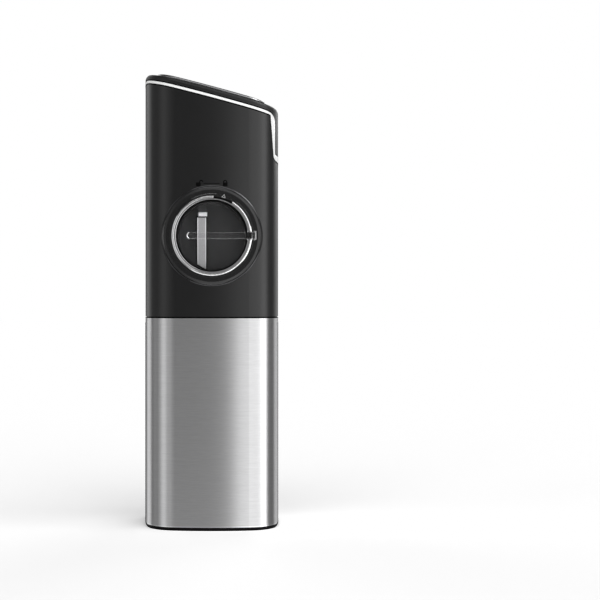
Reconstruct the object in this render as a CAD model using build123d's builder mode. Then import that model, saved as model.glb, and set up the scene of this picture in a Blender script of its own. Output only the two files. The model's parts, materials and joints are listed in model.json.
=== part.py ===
from build123d import *
import os
from math import acos, atan2, cos, degrees, pi, radians, sin, sqrt, tan

# Rechargeable electric wine opener, standing on its base.
# Millimetres, +Z up, origin on the bottle axis at the underside of the base.
# The twist-lock dial looks along -Y, the thumb rocker along +X, the charging socket along -X.

# ---------------------------------------------------------------- outer body
body_half = 33.0            # half the width of the rounded-square body
side_radius = 120.0         # gentle bulge of the four sides
corner_radius = 16.5        # radius of the four corners
base_rim_height = 1.5       # black rim seen under the steel sleeve
base_floor = 3.5
base_spigot_height = 5.5
base_wall = 2.4
base_edge_radius = 0.9
sleeve_wall = 0.8
housing_wall = 2.2
seam_rise = 4.2             # joint of steel sleeve and black housing above the chassis deck
seam_gap = 0.5
seam_recess = 0.5
slip = 0.15                 # sliding clearance between nested shells

# ---------------------------------------------------------------- slanted top
roof_angle = 15.0           # the top falls towards +X
cap_top_height = 212.0      # top plane, measured on the bottle axis
cap_thickness = 3.2         # top plane down to the upper edge of the trim
trim_height = 1.0
cap_edge_radius = 1.4
cap_skin = 2.2
panel_rise = 1.8            # glossy panel standing proud of the cap
panel_sink = 0.6
panel_inset = 5.0
panel_edge_radius = 1.1
tongue_thickness = 2.4      # the cap turns down the +X side as a tongue
tongue_drop = 31.15         # end of the tongue below the top plane
tongue_corner_radius = 5.0
tongue_foot_radius = 0.9
trim_side = 2.25            # trim width at the head of the tongue
trim_side_foot = 0.5        # trim width at the foot of the tongue
trim_corner_radius = 1.0
trim_foot = 2.85            # trim height below the tongue
trim_foot_radius = 2.4
trim_depth = 3.2            # how far the trim reaches in from the outside
lip_depth = 2.6             # locating lip under the cap
lip_wall = 1.6
lip_end_inset = 7.5

# ---------------------------------------------------------------- bottle end
neck_radius = 16.0          # bore that receives the bottle neck
neck_wall = 2.2
neck_mouth_radius = 19.5
neck_mouth_height = 9.0
neck_foot_radius = 21.0
neck_foot_gap = 0.3         # the neck guide stays clear of the table
neck_flange = 2.0
stop_height = 42.0          # the bottle lip comes to rest here
stop_thickness = 2.0
cork_radius = 13.2
cork_wall = 2.2
cork_space = 40.0           # room for the drawn cork
cork_skirt_wall = 1.6
cork_skirt_length = 5.0
cork_lip_radius = 9.5
cork_lip = 2.0

# ---------------------------------------------------------------- worm, carriage and drive
worm_pitch = 9.5
worm_turns = 4.5            # turns from fully up to fully down
worm_coil_radius = 3.4      # bottle axis to the centre of the wire
worm_wire_radius = 1.45
worm_point_radius = 0.3
worm_point_turn = 0.4       # part of a turn over which the wire tapers to a point
worm_tip_gap = 2.5          # point above the bottle stop when fully up
shank_radius = 5.0
shank_length = 3.0          # below the carriage
hub_height = 8.0
hub_lift = 0.2
ear_width = 3.4
ear_height = 2.0
ear_radius = 12.2
ear_rise = 0.4              # lower ear above the underside of the carriage
groove_radius = 12.6
groove_width = 3.0
groove_run_out = 0.07        # extra part of a turn at both ends
tube_bore = 8.0
tube_radius = 10.2
slot_clearance = 0.2
tube_end_gap = 0.6
tube_disc = 2.7
cage_bore = 10.5
cage_radius = 14.5
cage_flange_radius = 22.0
cage_flange = 2.5
cage_flange_drop = 6.5      # underside of the cage flange above the cage foot
running = 0.05              # radial clearance of turning fits
bush_wall = 1.75
bush_height = 3.0
bush_floor = 1.0
bush_floor_bore = 9.0

# ---------------------------------------------------------------- planetary gearbox
module_count = 55.0         # gear modules in half the body width
pressure_angle = 25.0
sun_teeth = 12
planet_teeth = 18
ring_teeth = sun_teeth + 2 * planet_teeth
planet_count = 3
addendum_factor = 0.9
dedendum_factor = 1.15
tooth_backlash = 0.10
gear_face = 4.4
carrier_margin = 3.4        # carrier beyond the circle of the planet pins
carrier_thickness = 1.8
planet_pin_radius = 1.5
stage_gap = 0.3             # axial clearance between turning layers
case_wall = 1.31            # behind the teeth of the ring gear
case_floor = 2.0
lid_thickness = 2.0
ear_offset = 2.2            # screw columns of the gearbox, outside the case
ear_column_radius = 3.0
output_boss_radius = 5.5
output_boss_flat = 4.2

# ---------------------------------------------------------------- motor
motor_margin = 4.2          # motor inside the outline of the gear case
motor_wall = 1.0
motor_share = 0.527          # share of the height between gearbox and roof
motor_cap_height = 2.5
motor_nose_radius = 3.0
motor_shaft_radius = 1.15
motor_collar_wall = 1.5
motor_collar_height = 6.0
armature_gap = 0.6
armature_share = 0.64       # share of the length of the motor can
armature_poles = 5
armature_slot = 1.6
armature_core = 4.2
commutator_radius = 3.0
commutator_length = 3.0
magnet_wall = 1.2
magnet_angle = 130.0

# ---------------------------------------------------------------- power and boards
cell_share = 0.215          # cell radius over half the body width
cell_length = 50.0
cell_side_margin = 8.4      # cell to the outside of the body, along X
cell_back_margin = 6.4      # cell to the outside of the body, along Y
cradle_wall = 0.9
cradle_floor = 1.6
cradle_cup_height = 16.0
cradle_spine_offset = 4.5
cradle_spine = 2.0
contact_radius = 4.0
contact_thickness = 0.4
board_thickness = 1.6
main_board_inset = 6.8      # outer face of the main board, from the outside of the body
main_board_width = 26.0
main_board_height = 44.0
main_board_lift = 2.0       # board above the rim of the deck
board_post_margin = 2.5     # post to the edges of the board
board_post_radius = 2.2
board_screw_radius = 1.0
board_screw_head_radius = 1.9
board_screw_head = 1.3
chip_size = 6.0
chip_thickness = 1.4
capacitor_radius = 3.0
capacitor_length = 4.5
capacitor_rise = 11.0       # above the middle of the board
socket_rise = 10.0          # charging socket above the rim of the deck
socket_width = 7.6
socket_thickness = 2.9
socket_length = 5.4
socket_shell = 0.35
socket_gap = 0.3
switch_board_inset = 8.8    # outer face of the switch board, from the outside of the body
switch_board_width = 19.0
switch_board_below = 8.2    # board below and above the axis of the rocker
switch_board_above = 7.1

# ---------------------------------------------------------------- thumb rocker
rocker_drop = 20.5          # rocker axis below the top plane
rocker_height = 11.0
rocker_width = 12.0
rocker_pivot_inset = 5.6
rocker_pin_radius = 0.8
rocker_barrel_radius = 1.8
rocker_back_inset = 4.8
rocker_gap = 0.42
rocker_sink = 0.1
rocker_edge_radius = 0.5
rocker_lug_wall = 1.8
rocker_lug_gap = 0.3
switch_size = 4.4
switch_body = 2.0
switch_plunger_radius = 1.1
switch_plunger = 0.8
switch_offset = 3.7
rocker_pad_gap = 0.35
stake_y = 7.9
stake_z = 6.0
stake_post_radius = 1.3
stake_radius = 0.8
light_offset = 7.1          # lamp below the axis of the rocker
light_width = 5.0
light_height = 1.1

# ---------------------------------------------------------------- twist-lock dial
dial_height = 141.25
collar_radius = 23.2
collar_draft = 17.0
collar_proud = 0.5
collar_depth = 6.0
collar_bevel = 1.1
collar_bevel_depth = 0.4
collar_plug_radius = 22.2
bezel_radius = 19.4
bezel_inner = 17.0
bezel_proud = 1.4
bezel_height = 2.4
bezel_round = 0.8
bezel_inner_round = 0.45
dial_clearance = 0.3
lens_thickness = 1.8
lens_sink = 0.6
lens_gap = 0.1
skirt_radius = 18.8
skirt_bore = 16.2
skirt_length = 5.6
lug_radius = 20.4
lug_thickness = 1.6
lug_angle = 14.0
lug_count = 3
entry_margin = 2.0
unlock_angle = 29.0
grip_width = 3.2
grip_left = 11.85
grip_right = 21.15
grip_rise = 1.5
grip_tab_width = 1.65       # finger tab beyond the bezel
grip_tab_height = 4.6
grip_tab_round = 0.7
grip_notch_gap = 0.1
index_from = 2.5            # dark index inlay on the bezel, degrees clockwise from the top
index_to = 31.5
index_radius = 18.45
index_width = 0.8
index_depth = 0.5
index_sink = 0.05
bay_bore = 17.2
bay_wall = 1.2
bay_case_gap = 0.7          # tool bay to the gear case
bay_flange = 1.2
bay_flange_radius = 22.1
bay_ear_offset = 17.6
bay_ear_radius = 3.0
bay_post_radius = 2.8
rib_width = 3.0
rib_height = 2.4
knife_x = -4.9
blade_width = 4.25
blade_thickness = 0.6
blade_low = -16.0           # blade and handle levels, measured from the dial axis
blade_high = 9.7
blade_point = 2.4
blade_lift = 4.1            # blade above the floor of the bay
ferrule_height = 2.1
ferrule_width = 4.6
ferrule_thickness = 2.0
knife_handle_shift = 0.45
knife_handle_height = 3.1
knife_handle_width = 4.4
knife_handle_thickness = 4.0

# ---------------------------------------------------------------- fasteners
screw_radius = 1.25
screw_head_radius = 2.4
screw_head_height = 1.6
screw_fit = 0.03
base_screw_inset = 12.5     # from the outside of the body, along both axes
base_boss_radius = 3.0
base_boss_height = 8.0
base_screw_length = 9.0
cage_screw_circle = 19.0
housing_screw_inset = 5.2
housing_boss_radius = 3.2
housing_boss_height = 6.5
housing_screw_length = 7.5
deck_thickness = 3.0
deck_wall = 2.0
deck_lap = 4.75             # deck rim above the seam

# ---------------------------------------------------------------- derived levels
slope = tan(radians(roof_angle))
gear_module = body_half / module_count
tooth_addendum = addendum_factor * gear_module
tooth_dedendum = dedendum_factor * gear_module
shell_inset = sleeve_wall + slip
base_top = base_rim_height + base_spigot_height
base_wall_inset = shell_inset + base_wall
trim_top_height = cap_top_height - cap_thickness
trim_bottom_height = trim_top_height - trim_height
stop_top = stop_height + stop_thickness
neck_outer_radius = neck_radius + neck_wall
neck_flange_top = base_floor + neck_flange
cork_outer_radius = cork_radius + cork_wall
cork_top = stop_top + cork_space
cage_bottom = cork_top + cork_lip
cage_flange_bottom = cage_bottom + cage_flange_drop
deck_bottom = cage_flange_bottom + cage_flange
deck_top = deck_bottom + deck_thickness
seam_height = deck_top + seam_rise
rim_bottom = seam_height - seam_gap / 2
rim_top = seam_height + seam_gap / 2
deck_rim_top = rim_top + deck_lap
deck_upper_inset = housing_wall + slip
deck_inner_inset = deck_upper_inset + deck_wall
bush_radius = tube_radius + running + bush_wall
tube_bottom = cage_bottom + bush_floor + running
worm_travel = worm_pitch * worm_turns
hub_bottom = cage_bottom + bush_height + hub_lift + worm_travel
hub_top = hub_bottom + hub_height
hub_radius = tube_bore - 2 * running
ear_centre = hub_bottom + ear_rise + ear_height / 2
worm_tip = stop_top + worm_tip_gap
tube_cavity_top = hub_top + tube_end_gap
tube_top = tube_cavity_top + tube_disc
case_bottom = tube_top + stage_gap
case_inside = case_bottom + case_floor
output_plate = case_inside + stage_gap
output_gears = output_plate + carrier_thickness + stage_gap
input_plate = output_gears + gear_face + stage_gap
input_gears = input_plate + carrier_thickness + stage_gap
case_top = input_gears + gear_face + 2 * stage_gap
motor_bottom = case_top + lid_thickness
motor_length = motor_share * (cap_top_height - motor_bottom)
motor_can_top = motor_bottom + motor_length
motor_top = motor_can_top + motor_cap_height
planet_orbit = gear_module * (sun_teeth + planet_teeth) / 2
sun_pitch_radius = gear_module * sun_teeth / 2
planet_pitch_radius = gear_module * planet_teeth / 2
ring_pitch_radius = gear_module * ring_teeth / 2
case_radius = ring_pitch_radius + tooth_dedendum + case_wall
ear_circle = case_radius + ear_offset
carrier_radius = planet_orbit + carrier_margin
motor_radius = case_radius - motor_margin
armature_radius = motor_radius - motor_wall - magnet_wall - armature_gap
armature_length = armature_share * motor_length
cell_radius = cell_share * body_half
cell_x = body_half - cell_side_margin - cell_radius
cell_y = body_half - cell_back_margin - cell_radius
cradle_spine_y = cell_y + cradle_spine_offset
cell_bottom = deck_top + cradle_floor + contact_thickness
cell_top = cell_bottom + cell_length
main_board_x = main_board_inset - body_half
main_board_inner_x = main_board_x + board_thickness
main_board_z = deck_rim_top + main_board_lift + main_board_height / 2
socket_height = deck_rim_top + socket_rise
tongue_x = body_half - tongue_thickness
tongue_foot_z = cap_top_height - tongue_drop
lip_end_x = body_half - lip_end_inset
rocker_z = cap_top_height - rocker_drop
rocker_pivot_x = body_half - rocker_pivot_inset
rocker_back_x = body_half - rocker_back_inset
rocker_front_x = body_half - rocker_sink
switch_board_x = body_half - switch_board_inset
switch_board_low = rocker_z - switch_board_below
switch_board_high = rocker_z + switch_board_above
light_z = rocker_z - light_offset
collar_front = -(body_half + collar_proud)
lid_front = -(body_half + bezel_proud)
lens_front = lid_front + lens_sink
skirt_front = lens_front + lens_thickness
skirt_back = skirt_front + skirt_length
lug_front = skirt_back - lug_thickness
ledge_front = skirt_front + dial_clearance
ledge_back = lug_front - dial_clearance
bay_front = skirt_back + dial_clearance
bay_floor_front = -(case_radius + bay_case_gap + bay_wall)
bay_depth = bay_floor_front - bay_front
blade_back = bay_floor_front - blade_lift
base_screw_offset = body_half - base_screw_inset
housing_screw_offset = body_half - housing_screw_inset
beyond = body_half + neck_radius    # safely outside the body
sky = cap_top_height + body_half    # safely above the body


# ================================================================ shared shapes
def body_section(inset=0.0, height=0.0):
    """Rounded-square section of the body, taken in by inset on every side."""
    reach = side_radius - body_half
    # each corner circle touches two side arcs from the inside
    corner = (sqrt(2 * (side_radius - corner_radius) ** 2 - reach**2) - reach) / 2
    swing = degrees(atan2(corner, corner + reach))
    with BuildSketch(Plane.XY.offset(height)) as section:
        with BuildLine():
            for turn in (0, 90, 180, 270):
                side_centre = Vector(-reach, 0).rotate(Axis.Z, turn)
                corner_centre = Vector(corner, corner).rotate(Axis.Z, turn)
                CenterArc(side_centre, side_radius - inset, turn - swing, 2 * swing)
                CenterArc(corner_centre, corner_radius - inset, turn + swing, 90 - 2 * swing)
        make_face()
    return section.sketch


def ring(outer, inner, height):
    """Flat ring around the bottle axis at the given height."""
    with BuildSketch(Plane.XY.offset(height)) as annulus:
        Circle(outer)
        if inner > 0:
            Circle(inner, mode=Mode.SUBTRACT)
    return annulus.sketch


def discs(radius, height, places):
    """Equal discs at several places of a horizontal plane."""
    with BuildSketch(Plane.XY.offset(height)) as group:
        with Locations(*places):
            Circle(radius)
    return group.sketch


def around(radius, count, first=0.0):
    """Places evenly spread on a circle around the bottle axis."""
    step = 2 * pi / count
    return [
        (radius * cos(radians(first) + step * n), radius * sin(radians(first) + step * n))
        for n in range(count)
    ]


def side_profile(points, rounds=()):
    """Closed outline in the XZ plane, for cutting across the whole body; rounds pairs corners with radii."""
    with BuildSketch(Plane.XZ) as profile:
        with BuildLine():
            Polyline(*points, close=True)
        make_face()
        for (x, z), radius in rounds:
            fillet(profile.vertices().sort_by_distance((x, z))[0], radius=radius)
    return profile.sketch


def dial_plane(depth):
    """Plane facing the user, centred on the dial axis."""
    return Plane(origin=(0, depth, dial_height), x_dir=(1, 0, 0), z_dir=(0, -1, 0))


def dial_ring(outer, inner, depth):
    """Flat ring around the dial axis."""
    with BuildSketch(dial_plane(depth)) as annulus:
        Circle(outer)
        if inner > 0:
            Circle(inner, mode=Mode.SUBTRACT)
    return annulus.sketch


def dial_sector(outer, inner, start, size, depth):
    """Ring segment around the dial axis, angles counter-clockwise from 3 o'clock."""
    with BuildSketch(dial_plane(depth)) as segment:
        with BuildLine():
            far = CenterArc((0, 0), outer, start, size)
            near = CenterArc((0, 0), inner, start, size)
            Line(far @ 0, near @ 0)
            Line(far @ 1, near @ 1)
        make_face()
    return segment.sketch


def top_line(height, x):
    """Height of a plane parallel to the slanted top."""
    return height - slope * x


def above_cap_line():
    """Everything that belongs to the cap and its tongue."""
    corner = (tongue_x, top_line(trim_top_height, tongue_x))
    foot = (tongue_x, tongue_foot_z)
    return side_profile(
        [
            (-beyond, top_line(trim_top_height, -beyond)),
            corner,
            foot,
            (beyond, tongue_foot_z),
            (beyond, sky),
            (-beyond, sky),
        ],
        [(corner, tongue_corner_radius), (foot, tongue_foot_radius)],
    )


def above_trim_line():
    """Everything above the housing: trim, cap and tongue."""
    corner_x = tongue_x - trim_side
    corner = (corner_x, top_line(trim_bottom_height, corner_x))
    foot = (tongue_x - trim_side_foot, tongue_foot_z - trim_foot)
    return side_profile(
        [
            (-beyond, top_line(trim_bottom_height, -beyond)),
            corner,
            foot,
            (beyond, tongue_foot_z - trim_foot),
            (beyond, sky),
            (-beyond, sky),
        ],
        [(corner, trim_corner_radius), (foot, trim_foot_radius)],
    )


def slanted_slab(low, high, right=beyond):
    """Layer parallel to the top, between two heights on the bottle axis."""
    return side_profile(
        [
            (-beyond, top_line(low, -beyond)),
            (right, top_line(low, right)),
            (right, top_line(high, right)),
            (-beyond, top_line(high, -beyond)),
        ]
    )


def involute(base, radius):
    """Involute function at a radius outside the base circle."""
    pressure = acos(base / radius)
    return tan(pressure) - pressure


def gear_outline(teeth, root, tip, thickening, height, turn=0.0, centre=(0.0, 0.0)):
    """Outline of a spur gear with straight flanks between involute points."""
    pitch = gear_module * teeth / 2
    base = pitch * cos(radians(pressure_angle))
    reference = pi / (2 * teeth) + thickening / (2 * pitch) + involute(base, pitch)
    foot = reference - involute(base, max(root, base))
    crest = reference - involute(base, tip)
    rise = [(root, -foot), (base, -foot), (tip, -crest)] if base > root else [(root, -foot), (tip, -crest)]
    fall = [(radius, -angle) for radius, angle in reversed(rise)]
    corners = []
    for tooth in range(teeth):
        middle = radians(turn) + 2 * pi * tooth / teeth
        for radius, angle in rise + fall:
            x = centre[0] + radius * cos(middle + angle)
            y = centre[1] + radius * sin(middle + angle)
            corners.append((x, y))
    with BuildSketch(Plane.XY.offset(height)) as outline:
        with BuildLine():
            Polyline(*corners, close=True)
        make_face()
    return outline.sketch


def external_gear(teeth, height, turn=0.0, centre=(0.0, 0.0)):
    """Outline of the pinion, the sun or a planet."""
    pitch = gear_module * teeth / 2
    root = pitch - tooth_dedendum
    tip = pitch + tooth_addendum
    return gear_outline(teeth, root, tip, -tooth_backlash, height, turn, centre)


def planet_turn(angle):
    """Turn that lets a planet at this orbit angle mesh with the sun and the ring."""
    return angle * (1 + sun_teeth / planet_teeth) + 180 - 180 / planet_teeth


def worm_coil():
    """Wire of the worm from the end of its point up to the shank."""
    start = worm_tip + worm_pitch * worm_point_turn
    with BuildPart() as coil:
        with BuildLine():
            path = Helix(
                pitch=worm_pitch,
                height=hub_bottom - start,
                radius=worm_coil_radius,
                center=(0, 0, start),
            )
        with BuildSketch(Plane(origin=path @ 0, z_dir=path % 0)):
            Circle(worm_wire_radius)
        sweep(is_frenet=True)
    return coil.part.rotate(Axis.Z, 360 * worm_point_turn)


def carriage_groove():
    """Helical groove that the two ears of the carriage run in."""
    start_turns = -(worm_turns + groove_run_out)
    turns = worm_turns + 0.5 + 2 * groove_run_out
    inner = cage_bore - (groove_radius - cage_bore) / 4
    with BuildPart() as groove:
        with BuildLine():
            path = Helix(
                pitch=worm_pitch,
                height=worm_pitch * turns,
                radius=(groove_radius + inner) / 2,
                center=(0, 0, ear_centre + worm_pitch * start_turns),
            )
        with BuildSketch(Plane(origin=path @ 0, x_dir=(1, 0, 0), z_dir=(0, -1, 0))):
            Rectangle(groove_radius - inner, groove_width)
        sweep(is_frenet=True)
    return groove.part.rotate(Axis.Z, 360 * start_turns)


def pan_screws(places, seat, length, upward=True):
    """Pan-head screws along Z: shank above the seat, head below it, or the reverse."""
    direction = 1 if upward else -1
    with BuildPart() as screws:
        extrude(discs(screw_radius, seat, places), amount=direction * length)
        extrude(discs(screw_head_radius, seat, places), amount=-direction * screw_head_height)
    return screws.part


os.makedirs("parts", exist_ok=True)

# ================================================================ base and bottle end
corner_places = [(sx * base_screw_offset, sy * base_screw_offset) for sx in (-1, 1) for sy in (-1, 1)]

with BuildPart() as base_ring:
    extrude(body_section(0.0), amount=base_rim_height)
    fillet(base_ring.faces().sort_by(Axis.Z)[0].edges(), radius=base_edge_radius)
    extrude(body_section(shell_inset, base_rim_height), amount=base_spigot_height)
    extrude(body_section(base_wall_inset, base_floor), amount=base_top, mode=Mode.SUBTRACT)
    extrude(ring(neck_foot_radius + slip, 0, 0), amount=base_floor, mode=Mode.SUBTRACT)
    extrude(discs(screw_radius + slip, 0, corner_places), amount=base_floor, mode=Mode.SUBTRACT)
    extrude(
        discs(screw_head_radius + slip, 0, corner_places),
        amount=screw_head_height + 2 * neck_foot_gap,
        mode=Mode.SUBTRACT,
    )
base_ring.part.label = "base_ring"
export_step(base_ring.part, "parts/base_ring.step")

with BuildPart() as neck_guide:
    with BuildSketch(Plane.XZ):
        with BuildLine():
            Polyline(
                (neck_mouth_radius, neck_foot_gap),
                (neck_foot_radius, neck_foot_gap),
                (neck_foot_radius, neck_mouth_height + 1),
                (neck_outer_radius, neck_mouth_height + 4),
                (neck_outer_radius, stop_top),
                (cork_radius, stop_top),
                (cork_radius, stop_height),
                (neck_radius, stop_height),
                (neck_radius, neck_mouth_height),
                close=True,
            )
        make_face()
    revolve(axis=Axis.Z)
    extrude(
        body_section(base_wall_inset + slip, base_floor) - ring(neck_foot_radius, 0, base_floor),
        amount=neck_flange,
    )
    extrude(discs(base_boss_radius, neck_flange_top, corner_places), amount=base_boss_height)
    extrude(
        discs(screw_radius + screw_fit, base_floor, corner_places),
        amount=neck_flange + base_boss_height,
        mode=Mode.SUBTRACT,
    )
neck_guide.part.label = "neck_guide"
export_step(neck_guide.part, "parts/neck_guide.step")

base_screw_seat = screw_head_height + 2 * neck_foot_gap
base_screws = pan_screws(corner_places, base_screw_seat, base_screw_length)
base_screws.label = "base_screws"
export_step(base_screws, "parts/base_screws.step")

with BuildPart() as lower_sleeve:
    extrude(body_section(0.0, base_rim_height), amount=rim_bottom - base_rim_height)
    extrude(
        body_section(sleeve_wall, base_rim_height),
        amount=rim_bottom - base_rim_height,
        mode=Mode.SUBTRACT,
    )
lower_sleeve.part.label = "lower_sleeve"
export_step(lower_sleeve.part, "parts/lower_sleeve.step")

cage_screw_places = around(cage_screw_circle, 4, 45)

with BuildPart() as cork_tube:
    with BuildSketch(Plane.XZ):
        with BuildLine():
            Polyline(
                (cork_radius, stop_top),
                (cork_radius, cork_top),
                (cork_lip_radius, cork_top),
                (cork_lip_radius, cage_bottom),
                (cage_radius + slip, cage_bottom),
                (cage_radius + slip, cage_flange_bottom),
                (cage_flange_radius, cage_flange_bottom),
                (cage_flange_radius, cage_flange_bottom - neck_flange),
                (cage_radius + slip + cork_skirt_wall, cage_flange_bottom - neck_flange),
                (cage_radius + slip + cork_skirt_wall, cork_top),
                (cork_outer_radius, cork_top - cork_lip),
                (cork_outer_radius, stop_top + neck_flange),
                (neck_outer_radius + slip + cork_skirt_wall, stop_top + neck_flange),
                (neck_outer_radius + slip + cork_skirt_wall, stop_top - cork_skirt_length),
                (neck_outer_radius + slip, stop_top - cork_skirt_length),
                (neck_outer_radius + slip, stop_top),
                close=True,
            )
        make_face()
    revolve(axis=Axis.Z)
    extrude(
        discs(screw_radius + slip, cage_flange_bottom - neck_flange, cage_screw_places),
        amount=neck_flange,
        mode=Mode.SUBTRACT,
    )
cork_tube.part.label = "cork_tube"
export_step(cork_tube.part, "parts/cork_tube.step")

# ================================================================ carriage, worm and drive
ear_places = around(ear_circle, 3, 90)

with BuildPart() as thread_cage:
    extrude(ring(cage_radius, 0, cage_bottom), amount=case_bottom - cage_bottom)
    extrude(ring(cage_flange_radius, 0, cage_flange_bottom), amount=cage_flange)
    with BuildSketch(Plane.XY.offset(case_bottom)):
        Circle(case_radius)
        for place in ear_places:
            with Locations(place):
                Circle(ear_column_radius)
    extrude(amount=-cage_flange)
    extrude(ring(cage_bore, 0, cage_bottom), amount=case_bottom - cage_bottom, mode=Mode.SUBTRACT)
    extrude(ring(bush_radius, 0, cage_bottom), amount=bush_height, mode=Mode.SUBTRACT)
    extrude(ring(bush_radius, 0, case_bottom), amount=-bush_height, mode=Mode.SUBTRACT)
    add(carriage_groove(), mode=Mode.SUBTRACT)
    # ring grooves in which the carriage idles at the bottom while the cork climbs the worm
    for level in (ear_centre - worm_travel, ear_centre - worm_travel + worm_pitch / 2):
        extrude(
            ring(groove_radius + slip, 0, level - groove_width / 2),
            amount=groove_width,
            mode=Mode.SUBTRACT,
        )
    extrude(
        discs(screw_radius + slip, cage_flange_bottom, cage_screw_places),
        amount=cage_flange,
        mode=Mode.SUBTRACT,
    )
    extrude(
        discs(screw_radius + screw_fit, case_bottom, ear_places),
        amount=-cage_flange,
        mode=Mode.SUBTRACT,
    )
thread_cage.part.label = "thread_cage"
export_step(thread_cage.part, "parts/thread_cage.step")

cage_screws = pan_screws(
    cage_screw_places,
    cage_flange_bottom - neck_flange,
    neck_flange + cage_flange + deck_thickness,
)
cage_screws.label = "cage_screws"
export_step(cage_screws, "parts/cage_screws.step")

with BuildPart() as lower_bush:
    extrude(ring(bush_radius, bush_floor_bore, cage_bottom), amount=bush_height)
    extrude(
        ring(tube_radius + running, 0, cage_bottom + bush_floor),
        amount=bush_height,
        mode=Mode.SUBTRACT,
    )
lower_bush.part.label = "lower_bush"
export_step(lower_bush.part, "parts/lower_bush.step")

with BuildPart() as upper_bush:
    extrude(ring(bush_radius, tube_radius + running, case_bottom - bush_height), amount=bush_height)
upper_bush.part.label = "upper_bush"
export_step(upper_bush.part, "parts/upper_bush.step")

with BuildPart() as drive_tube:
    extrude(ring(tube_radius, tube_bore, tube_bottom), amount=tube_cavity_top - tube_bottom)
    with BuildSketch(Plane.XY.offset(tube_bottom)):
        Rectangle(2 * beyond, ear_width + 2 * slot_clearance)
    extrude(amount=hub_top + slot_clearance - tube_bottom, mode=Mode.SUBTRACT)
    extrude(ring(tube_radius, 0, tube_cavity_top), amount=tube_disc)
    extrude(ring(output_boss_radius, 0, tube_top), amount=output_plate - tube_top)
    with BuildSketch(Plane.XY.offset(output_plate)):
        Circle(output_boss_radius)
        Rectangle(2 * output_boss_flat, 2 * output_boss_radius, mode=Mode.INTERSECT)
    extrude(amount=carrier_thickness)
drive_tube.part.label = "drive_tube"
export_step(drive_tube.part, "parts/drive_tube.step")

with BuildPart() as worm_hub:
    extrude(ring(hub_radius, 0, hub_bottom), amount=hub_height)
    for side, level in ((1, ear_centre), (-1, ear_centre + worm_pitch / 2)):
        with BuildSketch(Plane.XY.offset(level - ear_height / 2)):
            Circle(ear_radius)
            with Locations((side * ear_radius / 2, 0)):
                Rectangle(ear_radius, ear_width, mode=Mode.INTERSECT)
        extrude(amount=ear_height)
    extrude(ring(shank_radius + screw_fit, 0, hub_bottom), amount=hub_height, mode=Mode.SUBTRACT)
worm_hub.part.label = "worm_hub"
export_step(worm_hub.part, "parts/worm_hub.step")

with BuildPart() as worm:
    with BuildLine():
        point = Helix(
            pitch=worm_pitch,
            height=worm_pitch * worm_point_turn,
            radius=worm_coil_radius,
            center=(0, 0, worm_tip),
        )
    with BuildSketch(Plane(origin=point @ 0, z_dir=point % 0)):
        Circle(worm_point_radius)
    with BuildSketch(Plane(origin=point @ 1, z_dir=point % 1)):
        Circle(worm_wire_radius)
    sweep(multisection=True, is_frenet=True)
    add(worm_coil())
    extrude(ring(shank_radius, 0, hub_bottom - shank_length), amount=shank_length + hub_height)
worm.part.label = "worm"
export_step(worm.part, "parts/worm.step")

# ================================================================ planetary gearbox
planet_angles = [360 * n / planet_count for n in range(planet_count)]
planet_places = around(planet_orbit, planet_count)

with BuildPart() as output_carrier:
    extrude(ring(carrier_radius, 0, output_plate), amount=carrier_thickness)
    with BuildSketch(Plane.XY.offset(output_plate)):
        Circle(output_boss_radius + screw_fit)
        Rectangle(
            2 * (output_boss_flat + screw_fit),
            2 * (output_boss_radius + 1),
            mode=Mode.INTERSECT,
        )
    extrude(amount=carrier_thickness, mode=Mode.SUBTRACT)
    extrude(
        discs(planet_pin_radius, output_plate + carrier_thickness, planet_places),
        amount=gear_face + stage_gap,
    )
output_carrier.part.label = "output_carrier"
export_step(output_carrier.part, "parts/output_carrier.step")

with BuildPart() as input_carrier:
    extrude(ring(carrier_radius, 0, input_plate), amount=carrier_thickness)
    extrude(external_gear(sun_teeth, input_plate), amount=-gear_face)
    extrude(
        discs(planet_pin_radius, input_plate + carrier_thickness, planet_places),
        amount=gear_face + stage_gap,
    )
input_carrier.part.label = "input_carrier"
export_step(input_carrier.part, "parts/input_carrier.step")

for stage, level in (("output", output_gears), ("input", input_gears)):
    for number, (angle, place) in enumerate(zip(planet_angles, planet_places), 1):
        with BuildPart() as planet:
            extrude(
                external_gear(planet_teeth, level, planet_turn(angle), place),
                amount=gear_face,
            )
            extrude(
                discs(planet_pin_radius + running, level, [place]),
                amount=gear_face,
                mode=Mode.SUBTRACT,
            )
        planet.part.label = f"{stage}_planet_{number}"
        export_step(planet.part, f"parts/{stage}_planet_{number}.step")

with BuildPart() as gear_case:
    with BuildSketch(Plane.XY.offset(case_bottom)):
        Circle(case_radius)
        for place in ear_places:
            with Locations(place):
                Circle(ear_column_radius)
    extrude(amount=case_top - case_bottom)
    extrude(
        gear_outline(
            ring_teeth,
            ring_pitch_radius - tooth_addendum,
            ring_pitch_radius + tooth_dedendum,
            tooth_backlash,
            case_inside,
            180 / ring_teeth,
        ),
        amount=case_top - case_inside,
        mode=Mode.SUBTRACT,
    )
    extrude(
        ring(output_boss_radius + running, 0, case_bottom),
        amount=case_floor,
        mode=Mode.SUBTRACT,
    )
    extrude(
        discs(screw_radius + slip, case_bottom, ear_places),
        amount=case_top - case_bottom,
        mode=Mode.SUBTRACT,
    )
gear_case.part.label = "gear_case"
export_step(gear_case.part, "parts/gear_case.step")

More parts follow.
